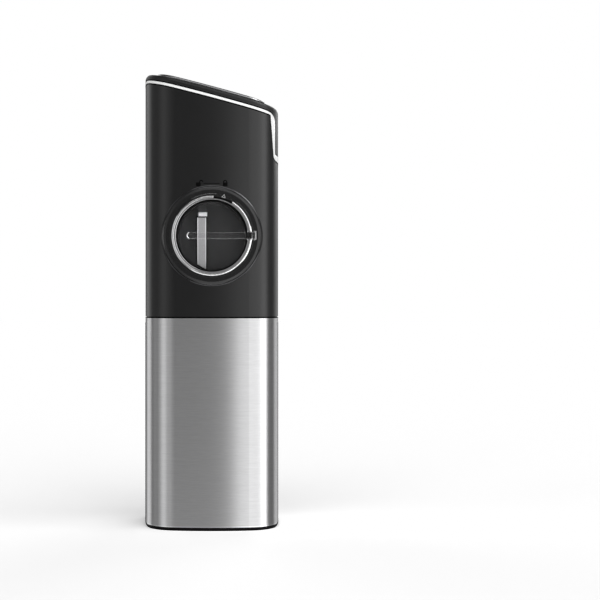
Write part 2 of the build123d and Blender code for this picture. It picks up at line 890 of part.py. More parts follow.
with BuildPart() as motor_mount:
    with BuildSketch(Plane.XY.offset(case_top)):
        Circle(case_radius)
        for place in ear_places:
            with Locations(place):
                Circle(ear_column_radius)
    extrude(amount=lid_thickness)
    extrude(
        ring(motor_radius + slip + motor_collar_wall, motor_radius + slip, motor_bottom),
        amount=motor_collar_height,
    )
    extrude(
        ring(sun_pitch_radius + tooth_addendum + stage_gap, 0, case_top),
        amount=lid_thickness,
        mode=Mode.SUBTRACT,
    )
    extrude(
        discs(screw_radius + slip, case_top, ear_places),
        amount=lid_thickness,
        mode=Mode.SUBTRACT,
    )
motor_mount.part.label = "motor_mount"
export_step(motor_mount.part, "parts/motor_mount.step")

gearbox_screws = pan_screws(ear_places, motor_bottom, motor_bottom - case_bottom + cage_flange, False)
gearbox_screws.label = "gearbox_screws"
export_step(gearbox_screws, "parts/gearbox_screws.step")

# ================================================================ motor
rotor_middle = (motor_bottom + motor_can_top) / 2

with BuildPart() as motor_can:
    extrude(ring(motor_radius, 0, motor_bottom), amount=motor_length)
    extrude(
        ring(motor_radius - motor_wall, 0, motor_bottom + motor_wall),
        amount=motor_length,
        mode=Mode.SUBTRACT,
    )
    extrude(
        ring(motor_shaft_radius + running, 0, motor_bottom),
        amount=motor_wall,
        mode=Mode.SUBTRACT,
    )
motor_can.part.label = "motor_can"
export_step(motor_can.part, "parts/motor_can.step")

with BuildPart() as motor_cap:
    extrude(ring(motor_radius, 0, motor_can_top), amount=motor_cap_height)
    extrude(
        ring(motor_shaft_radius + running, 0, motor_can_top),
        amount=motor_cap_height / 2,
        mode=Mode.SUBTRACT,
    )
motor_cap.part.label = "motor_cap"
export_step(motor_cap.part, "parts/motor_cap.step")

with BuildPart() as motor_magnets:
    magnet_outer = motor_radius - motor_wall
    for start in (-magnet_angle / 2, 180 - magnet_angle / 2):
        with BuildSketch(Plane.XY.offset(rotor_middle - armature_length / 2)):
            with BuildLine():
                far = CenterArc((0, 0), magnet_outer, start, magnet_angle)
                near = CenterArc((0, 0), magnet_outer - magnet_wall, start, magnet_angle)
                Line(far @ 0, near @ 0)
                Line(far @ 1, near @ 1)
            make_face()
        extrude(amount=armature_length)
motor_magnets.part.label = "motor_magnets"
export_step(motor_magnets.part, "parts/motor_magnets.step")

with BuildPart() as motor_armature:
    with BuildSketch(Plane.XY.offset(rotor_middle - armature_length / 2)):
        Circle(armature_radius)
        with PolarLocations((armature_radius + armature_core) / 2, armature_poles):
            Rectangle(armature_radius - armature_core, armature_slot, mode=Mode.SUBTRACT)
    extrude(amount=armature_length)
    extrude(
        ring(commutator_radius, 0, rotor_middle + armature_length / 2),
        amount=commutator_length,
    )
    extrude(
        ring(motor_shaft_radius, 0, input_gears),
        amount=motor_can_top + motor_cap_height / 2 - running - input_gears,
    )
motor_armature.part.label = "motor_armature"
export_step(motor_armature.part, "parts/motor_armature.step")

with BuildPart() as motor_pinion:
    extrude(external_gear(sun_teeth, input_gears), amount=gear_face)
    extrude(
        ring(motor_shaft_radius + screw_fit, 0, input_gears),
        amount=gear_face,
        mode=Mode.SUBTRACT,
    )
motor_pinion.part.label = "motor_pinion"
export_step(motor_pinion.part, "parts/motor_pinion.step")

# ================================================================ chassis deck and housing
side_places = around(housing_screw_offset, 4)

with BuildPart() as deck:
    extrude(body_section(shell_inset, deck_bottom), amount=rim_bottom - deck_bottom)
    extrude(body_section(seam_recess, rim_bottom), amount=seam_gap)
    extrude(body_section(deck_upper_inset, rim_top), amount=deck_lap)
    extrude(
        body_section(deck_inner_inset, deck_top),
        amount=deck_rim_top - deck_top,
        mode=Mode.SUBTRACT,
    )
    extrude(
        discs(housing_boss_radius + slip, deck_top, side_places),
        amount=deck_rim_top - deck_top,
        mode=Mode.SUBTRACT,
    )
    extrude(ring(cage_radius + slip, 0, deck_bottom), amount=deck_thickness, mode=Mode.SUBTRACT)
    extrude(
        discs(screw_radius + screw_fit, deck_bottom, cage_screw_places),
        amount=deck_thickness,
        mode=Mode.SUBTRACT,
    )
    extrude(
        discs(screw_radius + slip, deck_bottom, side_places),
        amount=deck_thickness,
        mode=Mode.SUBTRACT,
    )
deck.part.label = "deck"
export_step(deck.part, "parts/deck.step")

housing_screws = pan_screws(side_places, deck_bottom, housing_screw_length)
housing_screws.label = "housing_screws"
export_step(housing_screws, "parts/housing_screws.step")

board_post_y = main_board_width / 2 - board_post_margin
board_post_z = main_board_height / 2 - board_post_margin
board_posts = [
    (sy * board_post_y, main_board_z + sz * board_post_z) for sy in (-1, 1) for sz in (-1, 1)
]
bay_ear_places = [
    (sx * bay_ear_offset, sz * bay_ear_offset) for sx in (-1, 1) for sz in (-1, 1)
]
side_facing = Plane(origin=(0, 0, 0), x_dir=(0, 1, 0), z_dir=(1, 0, 0))

with BuildPart() as upper_housing:
    extrude(body_section(0.0, rim_top), amount=sky - rim_top)
    extrude(body_section(housing_wall, rim_top), amount=sky - rim_top, mode=Mode.SUBTRACT)
    extrude(discs(housing_boss_radius, deck_top, side_places), amount=housing_boss_height)
    # posts behind the dial and behind the main board, trimmed to the outside of the body
    with BuildSketch(dial_plane(bay_front)):
        with Locations(*bay_ear_places):
            Circle(bay_post_radius)
    extrude(amount=bay_front + body_half)
    with BuildSketch(side_facing.offset(main_board_x)):
        with Locations(*board_posts):
            Circle(board_post_radius)
    extrude(amount=-(body_half + main_board_x))
    extrude(body_section(0.0, 0.0), amount=sky, mode=Mode.INTERSECT)
    extrude(above_trim_line(), amount=beyond, both=True, mode=Mode.SUBTRACT)
    extrude(
        discs(screw_radius + screw_fit, deck_top, side_places),
        amount=housing_boss_height,
        mode=Mode.SUBTRACT,
    )
    extrude(
        dial_ring(collar_plug_radius + slip, 0, bay_front),
        amount=beyond + bay_front,
        mode=Mode.SUBTRACT,
    )
    with BuildSketch(dial_plane(bay_front)):
        with Locations(*bay_ear_places):
            Circle(board_screw_radius + screw_fit)
    extrude(amount=bay_post_radius, mode=Mode.SUBTRACT)
    with BuildSketch(side_facing.offset(main_board_x)):
        with Locations(*board_posts):
            Circle(board_screw_radius + screw_fit)
    extrude(amount=-board_post_radius, mode=Mode.SUBTRACT)
    with BuildSketch(side_facing.offset(main_board_x)):
        with Locations((0, socket_height)):
            RectangleRounded(
                socket_width + 2 * socket_gap,
                socket_thickness + 2 * socket_gap,
                socket_thickness / 2,
            )
    extrude(amount=-beyond, mode=Mode.SUBTRACT)
upper_housing.part.label = "upper_housing"
export_step(upper_housing.part, "parts/upper_housing.step")

# ================================================================ slanted top
rocker_window = [
    (rocker_width + 2 * rocker_gap, rocker_height + 2 * rocker_gap, rocker_z),
    (light_width, light_height, light_z),
]

with BuildPart() as trim_frame:
    extrude(body_section(0.0, 0.0), amount=sky)
    extrude(above_trim_line(), amount=beyond, both=True, mode=Mode.INTERSECT)
    extrude(above_cap_line(), amount=beyond, both=True, mode=Mode.SUBTRACT)
    extrude(body_section(trim_depth, 0.0), amount=sky, mode=Mode.SUBTRACT)
    # posts that carry the switch board, each ending in a stake through the board
    with BuildSketch(side_facing.offset(switch_board_x)):
        with Locations(*[(sy * stake_y, rocker_z + sz * stake_z) for sy in (-1, 1) for sz in (-1, 1)]):
            Circle(stake_post_radius)
    extrude(amount=tongue_x - switch_board_x - slip)
    with BuildSketch(side_facing.offset(switch_board_x)):
        with Locations(*[(sy * stake_y, rocker_z + sz * stake_z) for sy in (-1, 1) for sz in (-1, 1)]):
            Circle(stake_radius)
    extrude(amount=-(board_thickness + stake_radius / 2))
    # lugs that hold the rocker pin
    for side in (-1, 1):
        with BuildSketch(side_facing.offset(rocker_pivot_x - rocker_barrel_radius)):
            with Locations((side * (rocker_width / 2 + rocker_lug_gap + rocker_lug_wall / 2), rocker_z)):
                Rectangle(rocker_lug_wall, 2 * rocker_barrel_radius)
        extrude(amount=tongue_x - rocker_pivot_x + rocker_barrel_radius - slip)
    extrude(above_cap_line(), amount=beyond, both=True, mode=Mode.SUBTRACT)
    for width, height, level in rocker_window:
        with BuildSketch(side_facing.offset(rocker_back_x)):
            with Locations((0, level)):
                Rectangle(width, height)
        extrude(amount=beyond, mode=Mode.SUBTRACT)
    with BuildSketch(Plane.XZ):
        with Locations((rocker_pivot_x, rocker_z)):
            Circle(rocker_pin_radius + screw_fit)
    extrude(amount=beyond, both=True, mode=Mode.SUBTRACT)
trim_frame.part.label = "trim_frame"
export_step(trim_frame.part, "parts/trim_frame.step")

with BuildPart() as top_cap:
    extrude(body_section(0.0, 0.0), amount=sky)
    extrude(above_cap_line(), amount=beyond, both=True, mode=Mode.INTERSECT)
    extrude(slanted_slab(0, cap_top_height), amount=beyond, both=True, mode=Mode.INTERSECT)
    top_face = top_cap.faces().filter_by(lambda f: f.normal_at().Z > 0.9).sort_by(Axis.Z)[-1]
    fillet(top_face.edges(), radius=cap_edge_radius)
    # hollow underside
    with BuildSketch(Plane.XZ):
        with BuildLine():
            Polyline(
                (-beyond, 0),
                (lip_end_x, 0),
                (lip_end_x, top_line(cap_top_height - cap_skin, lip_end_x)),
                (-beyond, top_line(cap_top_height - cap_skin, -beyond)),
                close=True,
            )
        make_face()
    hollow_side = extrude(amount=beyond, both=True, mode=Mode.PRIVATE)
    hollow = extrude(body_section(trim_depth + slip, 0.0), amount=sky, mode=Mode.PRIVATE)
    add(hollow & hollow_side, mode=Mode.SUBTRACT)
    # pocket of the glossy panel
    pocket = extrude(body_section(panel_inset, 0.0), amount=sky, mode=Mode.PRIVATE)
    pocket_side = extrude(
        slanted_slab(cap_top_height - panel_sink, sky),
        amount=beyond,
        both=True,
        mode=Mode.PRIVATE,
    )
    add(pocket & pocket_side, mode=Mode.SUBTRACT)
    # locating lip
    lip = extrude(body_section(trim_depth + slip, 0.0), amount=sky, mode=Mode.PRIVATE)
    lip_core = extrude(body_section(trim_depth + slip + lip_wall, 0.0), amount=sky, mode=Mode.PRIVATE)
    lip_side = extrude(
        slanted_slab(trim_bottom_height - lip_depth, cap_top_height - cap_skin, lip_end_x),
        amount=beyond,
        both=True,
        mode=Mode.PRIVATE,
    )
    add((lip - lip_core) & lip_side)
    for width, height, level in rocker_window:
        with BuildSketch(side_facing.offset(rocker_back_x)):
            with Locations((0, level)):
                Rectangle(width, height)
        extrude(amount=beyond, mode=Mode.SUBTRACT)
top_cap.part.label = "top_cap"
export_step(top_cap.part, "parts/top_cap.step")

with BuildPart() as top_panel:
    extrude(body_section(panel_inset, 0.0), amount=sky)
    extrude(
        slanted_slab(cap_top_height - panel_sink, cap_top_height + panel_rise),
        amount=beyond,
        both=True,
        mode=Mode.INTERSECT,
    )
    fillet(top_panel.faces().sort_by(Axis.Z)[-1].edges(), radius=panel_edge_radius)
top_panel.part.label = "top_panel"
export_step(top_panel.part, "parts/top_panel.step")

# ================================================================ thumb rocker and switch board
with BuildPart() as rocker:
    with BuildSketch(side_facing.offset(rocker_back_x)):
        with Locations((0, rocker_z)):
            Rectangle(rocker_width, rocker_height)
    extrude(amount=rocker_front_x - rocker_back_x)
    fillet(rocker.faces().sort_by(Axis.X)[-1].edges(), radius=rocker_edge_radius)
    with BuildSketch(Plane.XZ):
        with Locations((rocker_pivot_x, rocker_z)):
            Circle(rocker_barrel_radius)
    extrude(amount=rocker_width / 2, both=True)
    with BuildSketch(Plane.XZ):
        with Locations((rocker_pivot_x, rocker_z)):
            Circle(rocker_pin_radius + running)
    extrude(amount=rocker_width, both=True, mode=Mode.SUBTRACT)
rocker.part.label = "rocker"
export_step(rocker.part, "parts/rocker.step")

with BuildPart() as rocker_pin:
    with BuildSketch(Plane.XZ):
        with Locations((rocker_pivot_x, rocker_z)):
            Circle(rocker_pin_radius)
    extrude(amount=rocker_width / 2 + rocker_lug_gap + rocker_lug_wall, both=True)
rocker_pin.part.label = "rocker_pin"
export_step(rocker_pin.part, "parts/rocker_pin.step")

with BuildPart() as switch_board:
    with BuildSketch(side_facing.offset(switch_board_x)):
        with Locations((0, (switch_board_low + switch_board_high) / 2)):
            Rectangle(switch_board_width, switch_board_high - switch_board_low)
        with Locations(*[(sy * stake_y, rocker_z + sz * stake_z) for sy in (-1, 1) for sz in (-1, 1)]):
            Circle(stake_radius + screw_fit, mode=Mode.SUBTRACT)
    extrude(amount=-board_thickness)
switch_board.part.label = "switch_board"
export_step(switch_board.part, "parts/switch_board.step")

with BuildPart() as tact_switches:
    for side in (-1, 1):
        with BuildSketch(side_facing.offset(switch_board_x)):
            with Locations((0, rocker_z + side * switch_offset)):
                Rectangle(switch_size, switch_size)
        extrude(amount=switch_body)
        with BuildSketch(side_facing.offset(switch_board_x + switch_body)):
            with Locations((0, rocker_z + side * switch_offset)):
                Circle(switch_plunger_radius)
        extrude(amount=switch_plunger)
tact_switches.part.label = "tact_switches"
export_step(tact_switches.part, "parts/tact_switches.step")

with BuildPart() as light_pipe:
    with BuildSketch(side_facing.offset(switch_board_x)):
        with Locations((0, light_z)):
            Rectangle(light_width, light_height)
    extrude(amount=body_half - switch_board_x - rocker_sink)
light_pipe.part.label = "light_pipe"
export_step(light_pipe.part, "parts/light_pipe.step")

# ================================================================ power
with BuildPart() as battery_cells:
    extrude(discs(cell_radius, cell_bottom, [(-cell_x, cell_y), (cell_x, cell_y)]), amount=cell_length)
battery_cells.part.label = "battery_cells"
export_step(battery_cells.part, "parts/battery_cells.step")

with BuildPart() as cell_contacts:
    for level in (cell_bottom - contact_thickness, cell_top):
        extrude(
            discs(contact_radius, level, [(-cell_x, cell_y), (cell_x, cell_y)]),
            amount=contact_thickness,
        )
cell_contacts.part.label = "cell_contacts"
export_step(cell_contacts.part, "parts/cell_contacts.step")

with BuildPart() as cell_cradle:
    cup_radius = cell_radius + slip + cradle_wall
    spine_top = cell_top + contact_thickness + cradle_floor
    extrude(discs(cup_radius, deck_top, [(-cell_x, cell_y), (cell_x, cell_y)]), amount=cradle_cup_height)
    with BuildSketch(Plane.XY.offset(deck_top)):
        with Locations((0, cradle_spine_y)):
            Rectangle(2 * cell_x, cradle_spine)
    extrude(amount=spine_top - deck_top)
    for side in (-1, 1):
        with BuildSketch(Plane.XY.offset(spine_top)):
            with Locations((side * cell_x * 0.85, (cell_y + cradle_spine_y) / 2)):
                Rectangle(cell_radius * 1.6, cradle_spine_y - cell_y + cradle_spine)
        extrude(amount=-cradle_floor)
    extrude(
        discs(cell_radius + slip, deck_top + cradle_floor, [(-cell_x, cell_y), (cell_x, cell_y)]),
        amount=cell_top + contact_thickness - deck_top - cradle_floor,
        mode=Mode.SUBTRACT,
    )
    extrude(
        discs(housing_boss_radius + slip, deck_top, side_places),
        amount=housing_boss_height + slip,
        mode=Mode.SUBTRACT,
    )
    extrude(body_section(deck_inner_inset + slip, deck_top), amount=sky, mode=Mode.INTERSECT)
cell_cradle.part.label = "cell_cradle"
export_step(cell_cradle.part, "parts/cell_cradle.step")

# ================================================================ main board
with BuildPart() as main_board:
    with BuildSketch(side_facing.offset(main_board_x)):
        with Locations((0, main_board_z)):
            Rectangle(main_board_width, main_board_height)
        with Locations(*board_posts):
            Circle(board_screw_radius + slip, mode=Mode.SUBTRACT)
    extrude(amount=board_thickness)
main_board.part.label = "main_board"
export_step(main_board.part, "parts/main_board.step")

with BuildPart() as board_screws:
    with BuildSketch(side_facing.offset(main_board_inner_x)):
        with Locations(*board_posts):
            Circle(board_screw_head_radius)
    extrude(amount=board_screw_head)
    with BuildSketch(side_facing.offset(main_board_inner_x)):
        with Locations(*board_posts):
            Circle(board_screw_radius)
    extrude(amount=-(board_thickness + board_post_radius))
board_screws.part.label = "board_screws"
export_step(board_screws.part, "parts/board_screws.step")

with BuildPart() as driver_chips:
    with BuildSketch(side_facing.offset(main_board_inner_x)):
        with Locations((-5, main_board_z), (5, main_board_z)):
            Rectangle(chip_size, chip_size)
    extrude(amount=chip_thickness)
driver_chips.part.label = "driver_chips"
export_step(driver_chips.part, "parts/driver_chips.step")

with BuildPart() as capacitor:
    with BuildSketch(side_facing.offset(main_board_inner_x)):
        with Locations((0, main_board_z + capacitor_rise)):
            Circle(capacitor_radius)
    extrude(amount=capacitor_length)
capacitor.part.label = "capacitor"
export_step(capacitor.part, "parts/capacitor.step")

with BuildPart() as charge_socket:
    with BuildSketch(side_facing.offset(main_board_x)):
        with Locations((0, socket_height)):
            RectangleRounded(socket_width, socket_thickness, socket_thickness / 3)
    extrude(amount=-socket_length)
    with BuildSketch(side_facing.offset(main_board_x - board_thickness / 2)):
        with Locations((0, socket_height)):
            RectangleRounded(
                socket_width - 2 * socket_shell,
                socket_thickness - 2 * socket_shell,
                socket_thickness / 3 - socket_shell / 2,
            )
    extrude(amount=-socket_length, mode=Mode.SUBTRACT)
charge_socket.part.label = "charge_socket"
export_step(charge_socket.part, "parts/charge_socket.step")

with BuildPart() as socket_tongue:
    with BuildSketch(side_facing.offset(main_board_x - board_thickness / 2)):
        with Locations((0, socket_height)):
            Rectangle(socket_width * 0.55, socket_shell * 1.8)
    extrude(amount=-socket_length * 0.7)
socket_tongue.part.label = "socket_tongue"
export_step(socket_tongue.part, "parts/socket_tongue.step")

# ================================================================ twist-lock dial
with BuildPart() as dial_collar:
    collar_back = collar_front + collar_depth
    collar_foot_radius = collar_radius + collar_depth * tan(radians(collar_draft))
    with BuildSketch(Plane.YZ):
        with BuildLine():
            Polyline(
                (collar_front, dial_height),
                (collar_front, dial_height + collar_radius - collar_bevel),
                (collar_front + collar_bevel_depth, dial_height + collar_radius),
                (collar_back, dial_height + collar_foot_radius),
                (collar_back, dial_height),
                close=True,
            )
        make_face()
    revolve(axis=Axis((0, 0, dial_height), (0, 1, 0)))
    extrude(body_section(0.0, 0.0), amount=sky, mode=Mode.SUBTRACT)
    extrude(
        dial_ring(collar_plug_radius, 0, collar_front + collar_proud / 2),
        amount=-(bay_front - collar_front - collar_proud / 2),
    )
    extrude(
        dial_ring(bezel_radius + dial_clearance, 0, collar_front),
        amount=-(ledge_front - collar_front),
        mode=Mode.SUBTRACT,
    )
    extrude(
        dial_ring(skirt_radius + dial_clearance, 0, collar_front),
        amount=-(bay_front - collar_front),
        mode=Mode.SUBTRACT,
    )
    extrude(
        dial_ring(lug_radius + dial_clearance, 0, ledge_back),
        amount=-(bay_front - ledge_back),
        mode=Mode.SUBTRACT,
    )
    for n in range(lug_count):
        entry = 90 + n * 360 / lug_count + unlock_angle
        extrude(
            dial_sector(
                lug_radius + dial_clearance,
                skirt_radius,
                entry - lug_angle / 2 - entry_margin,
                lug_angle + 2 * entry_margin,
                ledge_front,
            ),
            amount=-(ledge_back - ledge_front),
            mode=Mode.SUBTRACT,
        )
dial_collar.part.label = "dial_collar"
export_step(dial_collar.part, "parts/dial_collar.step")

with BuildPart() as lid_skirt:
    extrude(dial_ring(skirt_radius, skirt_bore, skirt_front), amount=-skirt_length)
    for n in range(lug_count):
        middle = 90 + n * 360 / lug_count
        extrude(
            dial_sector(lug_radius, skirt_bore + 1, middle - lug_angle / 2, lug_angle, lug_front),
            amount=-lug_thickness,
        )
lid_skirt.part.label = "lid_skirt"
export_step(lid_skirt.part, "parts/lid_skirt.step")

with BuildPart() as dial_bezel:
    extrude(dial_ring(bezel_radius, bezel_inner, lid_front), amount=-bezel_height)
    inner_edge, outer_edge = dial_bezel.faces().sort_by(Axis.Y)[0].edges().sort_by(SortBy.RADIUS)
    fillet(outer_edge, radius=bezel_round)
    fillet(inner_edge, radius=bezel_inner_round)
    extrude(
        dial_sector(
            index_radius + index_width / 2,
            index_radius - index_width / 2,
            90 - index_to,
            index_to - index_from,
            lid_front,
        ),
        amount=-index_depth,
        mode=Mode.SUBTRACT,
    )
    with BuildSketch(dial_plane(lid_front)):
        with Locations((bezel_radius, 0)):
            Rectangle(bezel_radius, grip_width + 2 * grip_notch_gap)
    extrude(amount=-lens_sink, mode=Mode.SUBTRACT)
dial_bezel.part.label = "dial_bezel"
export_step(dial_bezel.part, "parts/dial_bezel.step")

with BuildPart() as index_inlay:
    extrude(
        dial_sector(
            index_radius + index_width / 2,
            index_radius - index_width / 2,
            90 - index_to,
            index_to - index_from,
            lid_front + index_sink,
        ),
        amount=index_sink - index_depth,
    )
index_inlay.part.label = "index_inlay"
export_step(index_inlay.part, "parts/index_inlay.step")

with BuildPart() as dial_lens:
    extrude(dial_ring(bezel_inner - lens_gap, 0, lens_front), amount=-lens_thickness)
dial_lens.part.label = "dial_lens"
export_step(dial_lens.part, "parts/dial_lens.step")

with BuildPart() as grip_bar:
    with BuildSketch(dial_plane(lens_front)):
        with Locations(((grip_right - grip_left) / 2, 0)):
            SlotOverall(grip_left + grip_right, grip_width)
        with Locations((grip_right - grip_tab_width / 2, 0)):
            RectangleRounded(grip_tab_width, grip_tab_height, grip_tab_round)
    extrude(amount=grip_rise)
    fillet(grip_bar.faces().sort_by(Axis.Y)[0].edges(), radius=grip_rise / 4)
grip_bar.part.label = "grip_bar"
export_step(grip_bar.part, "parts/grip_bar.step")

with BuildPart() as tool_bay:
    extrude(dial_ring(bay_flange_radius, 0, bay_front), amount=-bay_flange)
    with BuildSketch(dial_plane(bay_front)):
        with Locations(*bay_ear_places):
            Circle(bay_ear_radius)
    extrude(amount=-bay_flange)
    extrude(dial_ring(bay_bore + bay_wall, 0, bay_front), amount=-(bay_depth + bay_wall))
    extrude(dial_ring(bay_bore, 0, bay_front), amount=-bay_depth, mode=Mode.SUBTRACT)
    with BuildSketch(dial_plane(bay_floor_front)):
        with Locations((knife_x, blade_low / 2), (knife_x, blade_high / 2)):
            Rectangle(rib_width, rib_height)
    extrude(amount=blade_lift)
    with BuildSketch(dial_plane(bay_front)):
        with Locations(*bay_ear_places):
            Circle(board_screw_radius + slip)
    extrude(amount=-bay_flange, mode=Mode.SUBTRACT)
tool_bay.part.label = "tool_bay"
export_step(tool_bay.part, "parts/tool_bay.step")

with BuildPart() as bay_screws:
    with BuildSketch(dial_plane(bay_front + bay_flange)):
        with Locations(*bay_ear_places):
            Circle(board_screw_head_radius)
    extrude(amount=-board_screw_head)
    with BuildSketch(dial_plane(bay_front + bay_flange)):
        with Locations(*bay_ear_places):
            Circle(board_screw_radius)
    extrude(amount=bay_flange + bay_post_radius - running)
bay_screws.part.label = "bay_screws"
export_step(bay_screws.part, "parts/bay_screws.step")

# ================================================================ foil knife
with BuildPart() as knife_blade:
    with BuildSketch(dial_plane(blade_back)):
        with BuildLine():
            Polyline(
                (knife_x - blade_width / 2, blade_high),
                (knife_x - blade_width / 2, blade_low + blade_point),
                (knife_x + blade_width / 2, blade_low),
                (knife_x + blade_width / 2, blade_high),
                close=True,
            )
        make_face()
    extrude(amount=blade_thickness)
knife_blade.part.label = "knife_blade"
export_step(knife_blade.part, "parts/knife_blade.step")

with BuildPart() as knife_ferrule:
    with BuildSketch(dial_plane(blade_back + (ferrule_thickness - blade_thickness) / 2)):
        with Locations((knife_x + knife_handle_shift, blade_high + ferrule_height / 2)):
            Rectangle(ferrule_width, ferrule_height)
    extrude(amount=ferrule_thickness)
knife_ferrule.part.label = "knife_ferrule"
export_step(knife_ferrule.part, "parts/knife_ferrule.step")

with BuildPart() as knife_handle:
    with BuildSketch(dial_plane(blade_back + (knife_handle_thickness - blade_thickness) / 2)):
        with Locations((knife_x + knife_handle_shift, blade_high + ferrule_height + knife_handle_height / 2)):
            Rectangle(knife_handle_width, knife_handle_height)
    extrude(amount=knife_handle_thickness)
knife_handle.part.label = "knife_handle"
export_step(knife_handle.part, "parts/knife_handle.step")
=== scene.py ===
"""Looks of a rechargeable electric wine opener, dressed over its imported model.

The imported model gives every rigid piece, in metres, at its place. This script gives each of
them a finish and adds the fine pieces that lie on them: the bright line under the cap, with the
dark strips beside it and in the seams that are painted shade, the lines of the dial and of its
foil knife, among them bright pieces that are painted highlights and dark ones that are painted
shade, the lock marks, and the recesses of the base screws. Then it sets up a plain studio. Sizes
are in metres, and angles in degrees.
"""

import json
import logging
import math
from dataclasses import dataclass, field
from enum import Enum

import bpy
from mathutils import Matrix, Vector

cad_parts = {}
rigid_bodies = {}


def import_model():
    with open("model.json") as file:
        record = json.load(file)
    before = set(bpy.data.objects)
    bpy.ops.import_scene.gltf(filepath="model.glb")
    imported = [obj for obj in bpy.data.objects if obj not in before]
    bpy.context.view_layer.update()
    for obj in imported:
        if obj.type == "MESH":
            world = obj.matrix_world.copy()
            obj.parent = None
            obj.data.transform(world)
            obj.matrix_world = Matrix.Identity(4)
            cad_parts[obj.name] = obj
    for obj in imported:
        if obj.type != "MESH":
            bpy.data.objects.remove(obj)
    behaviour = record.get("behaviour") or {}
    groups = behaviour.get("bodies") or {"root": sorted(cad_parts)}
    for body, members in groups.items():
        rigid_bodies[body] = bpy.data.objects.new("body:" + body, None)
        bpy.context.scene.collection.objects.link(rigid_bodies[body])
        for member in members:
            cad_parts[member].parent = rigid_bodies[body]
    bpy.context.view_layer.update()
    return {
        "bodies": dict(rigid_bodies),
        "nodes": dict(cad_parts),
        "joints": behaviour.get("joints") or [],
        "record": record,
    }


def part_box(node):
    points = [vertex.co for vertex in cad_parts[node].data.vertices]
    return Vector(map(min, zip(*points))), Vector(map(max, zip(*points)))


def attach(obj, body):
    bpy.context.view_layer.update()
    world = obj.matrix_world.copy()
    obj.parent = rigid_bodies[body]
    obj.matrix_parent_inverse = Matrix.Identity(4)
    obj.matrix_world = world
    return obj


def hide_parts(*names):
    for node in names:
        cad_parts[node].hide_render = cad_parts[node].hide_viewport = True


LOG = logging.getLogger("wine_opener")
MERGE = 0.000001
SOFT_STOPS = (0.3, 0.7)
# degrees below which faces are shaded smooth
ANGLE_OF_SOLID = 35
ANGLE_OF_EDGE = 40
ANGLE_OF_CUT = 50
ANGLE_OF_ROUND = 60
PRINT_SUNK = 0.0001
ORIGIN = (0, 0, 0)
FACING_FRONT = (math.radians(90), 0, 0)

Colour = tuple[float, float, float]
Point = tuple[float, float, float]
Material = bpy.types.Material
Piece = bpy.types.Object
Socket = bpy.types.NodeSocket
Tree = bpy.types.NodeTree
Inputs = dict[str | int, float | tuple[float, ...] | Socket]


class Grain(Enum):
    """Direction in which a metal was brushed."""

    LEVEL = "level"
    UPRIGHT = "upright"
    NONE = "none"


# --- node helpers
def node_of(tree: Tree, kind: str) -> bpy.types.Node:
    """First node of a kind in a tree."""
    return next(n for n in tree.nodes if n.type == kind)


def feed(tree: Tree, node: bpy.types.Node, inputs: Inputs) -> None:
    """Set or link inputs of a node.

    Args:
        tree: the node's tree.
        node: the node.
        inputs: numbers, colours and sockets by the names of the node's inputs.
    """
    for name, value in inputs.items():
        if isinstance(value, Socket):
            tree.links.new(value, node.inputs[name])
        else:
            node.inputs[name].default_value = value


def new_node(tree: Tree, kind: str, inputs: Inputs | None = None) -> bpy.types.Node:
    """Add a node to a tree.

    Args:
        tree: node tree to add to.
        kind: kind of shader node.
        inputs: what its inputs are set or linked to.

    Returns:
        The node.
    """
    node = tree.nodes.new("ShaderNode" + kind)
    feed(tree, node, inputs or {})
    return node


def show_either(
    tree: Tree, factor: Socket, first: Socket, second: Socket, output: str = "OUTPUT_MATERIAL"
) -> None:
    """Show one shader where a factor is 0 and another where it is 1.

    Args:
        tree: node tree to add to.
        factor: factor that is read.
        first: shader shown at 0.
        second: shader shown at 1.
        output: kind of the tree's output node.
    """
    choice = new_node(tree, "MixShader", {"Fac": factor, 1: first, 2: second})
    feed(tree, node_of(tree, output), {"Surface": choice.outputs["Shader"]})


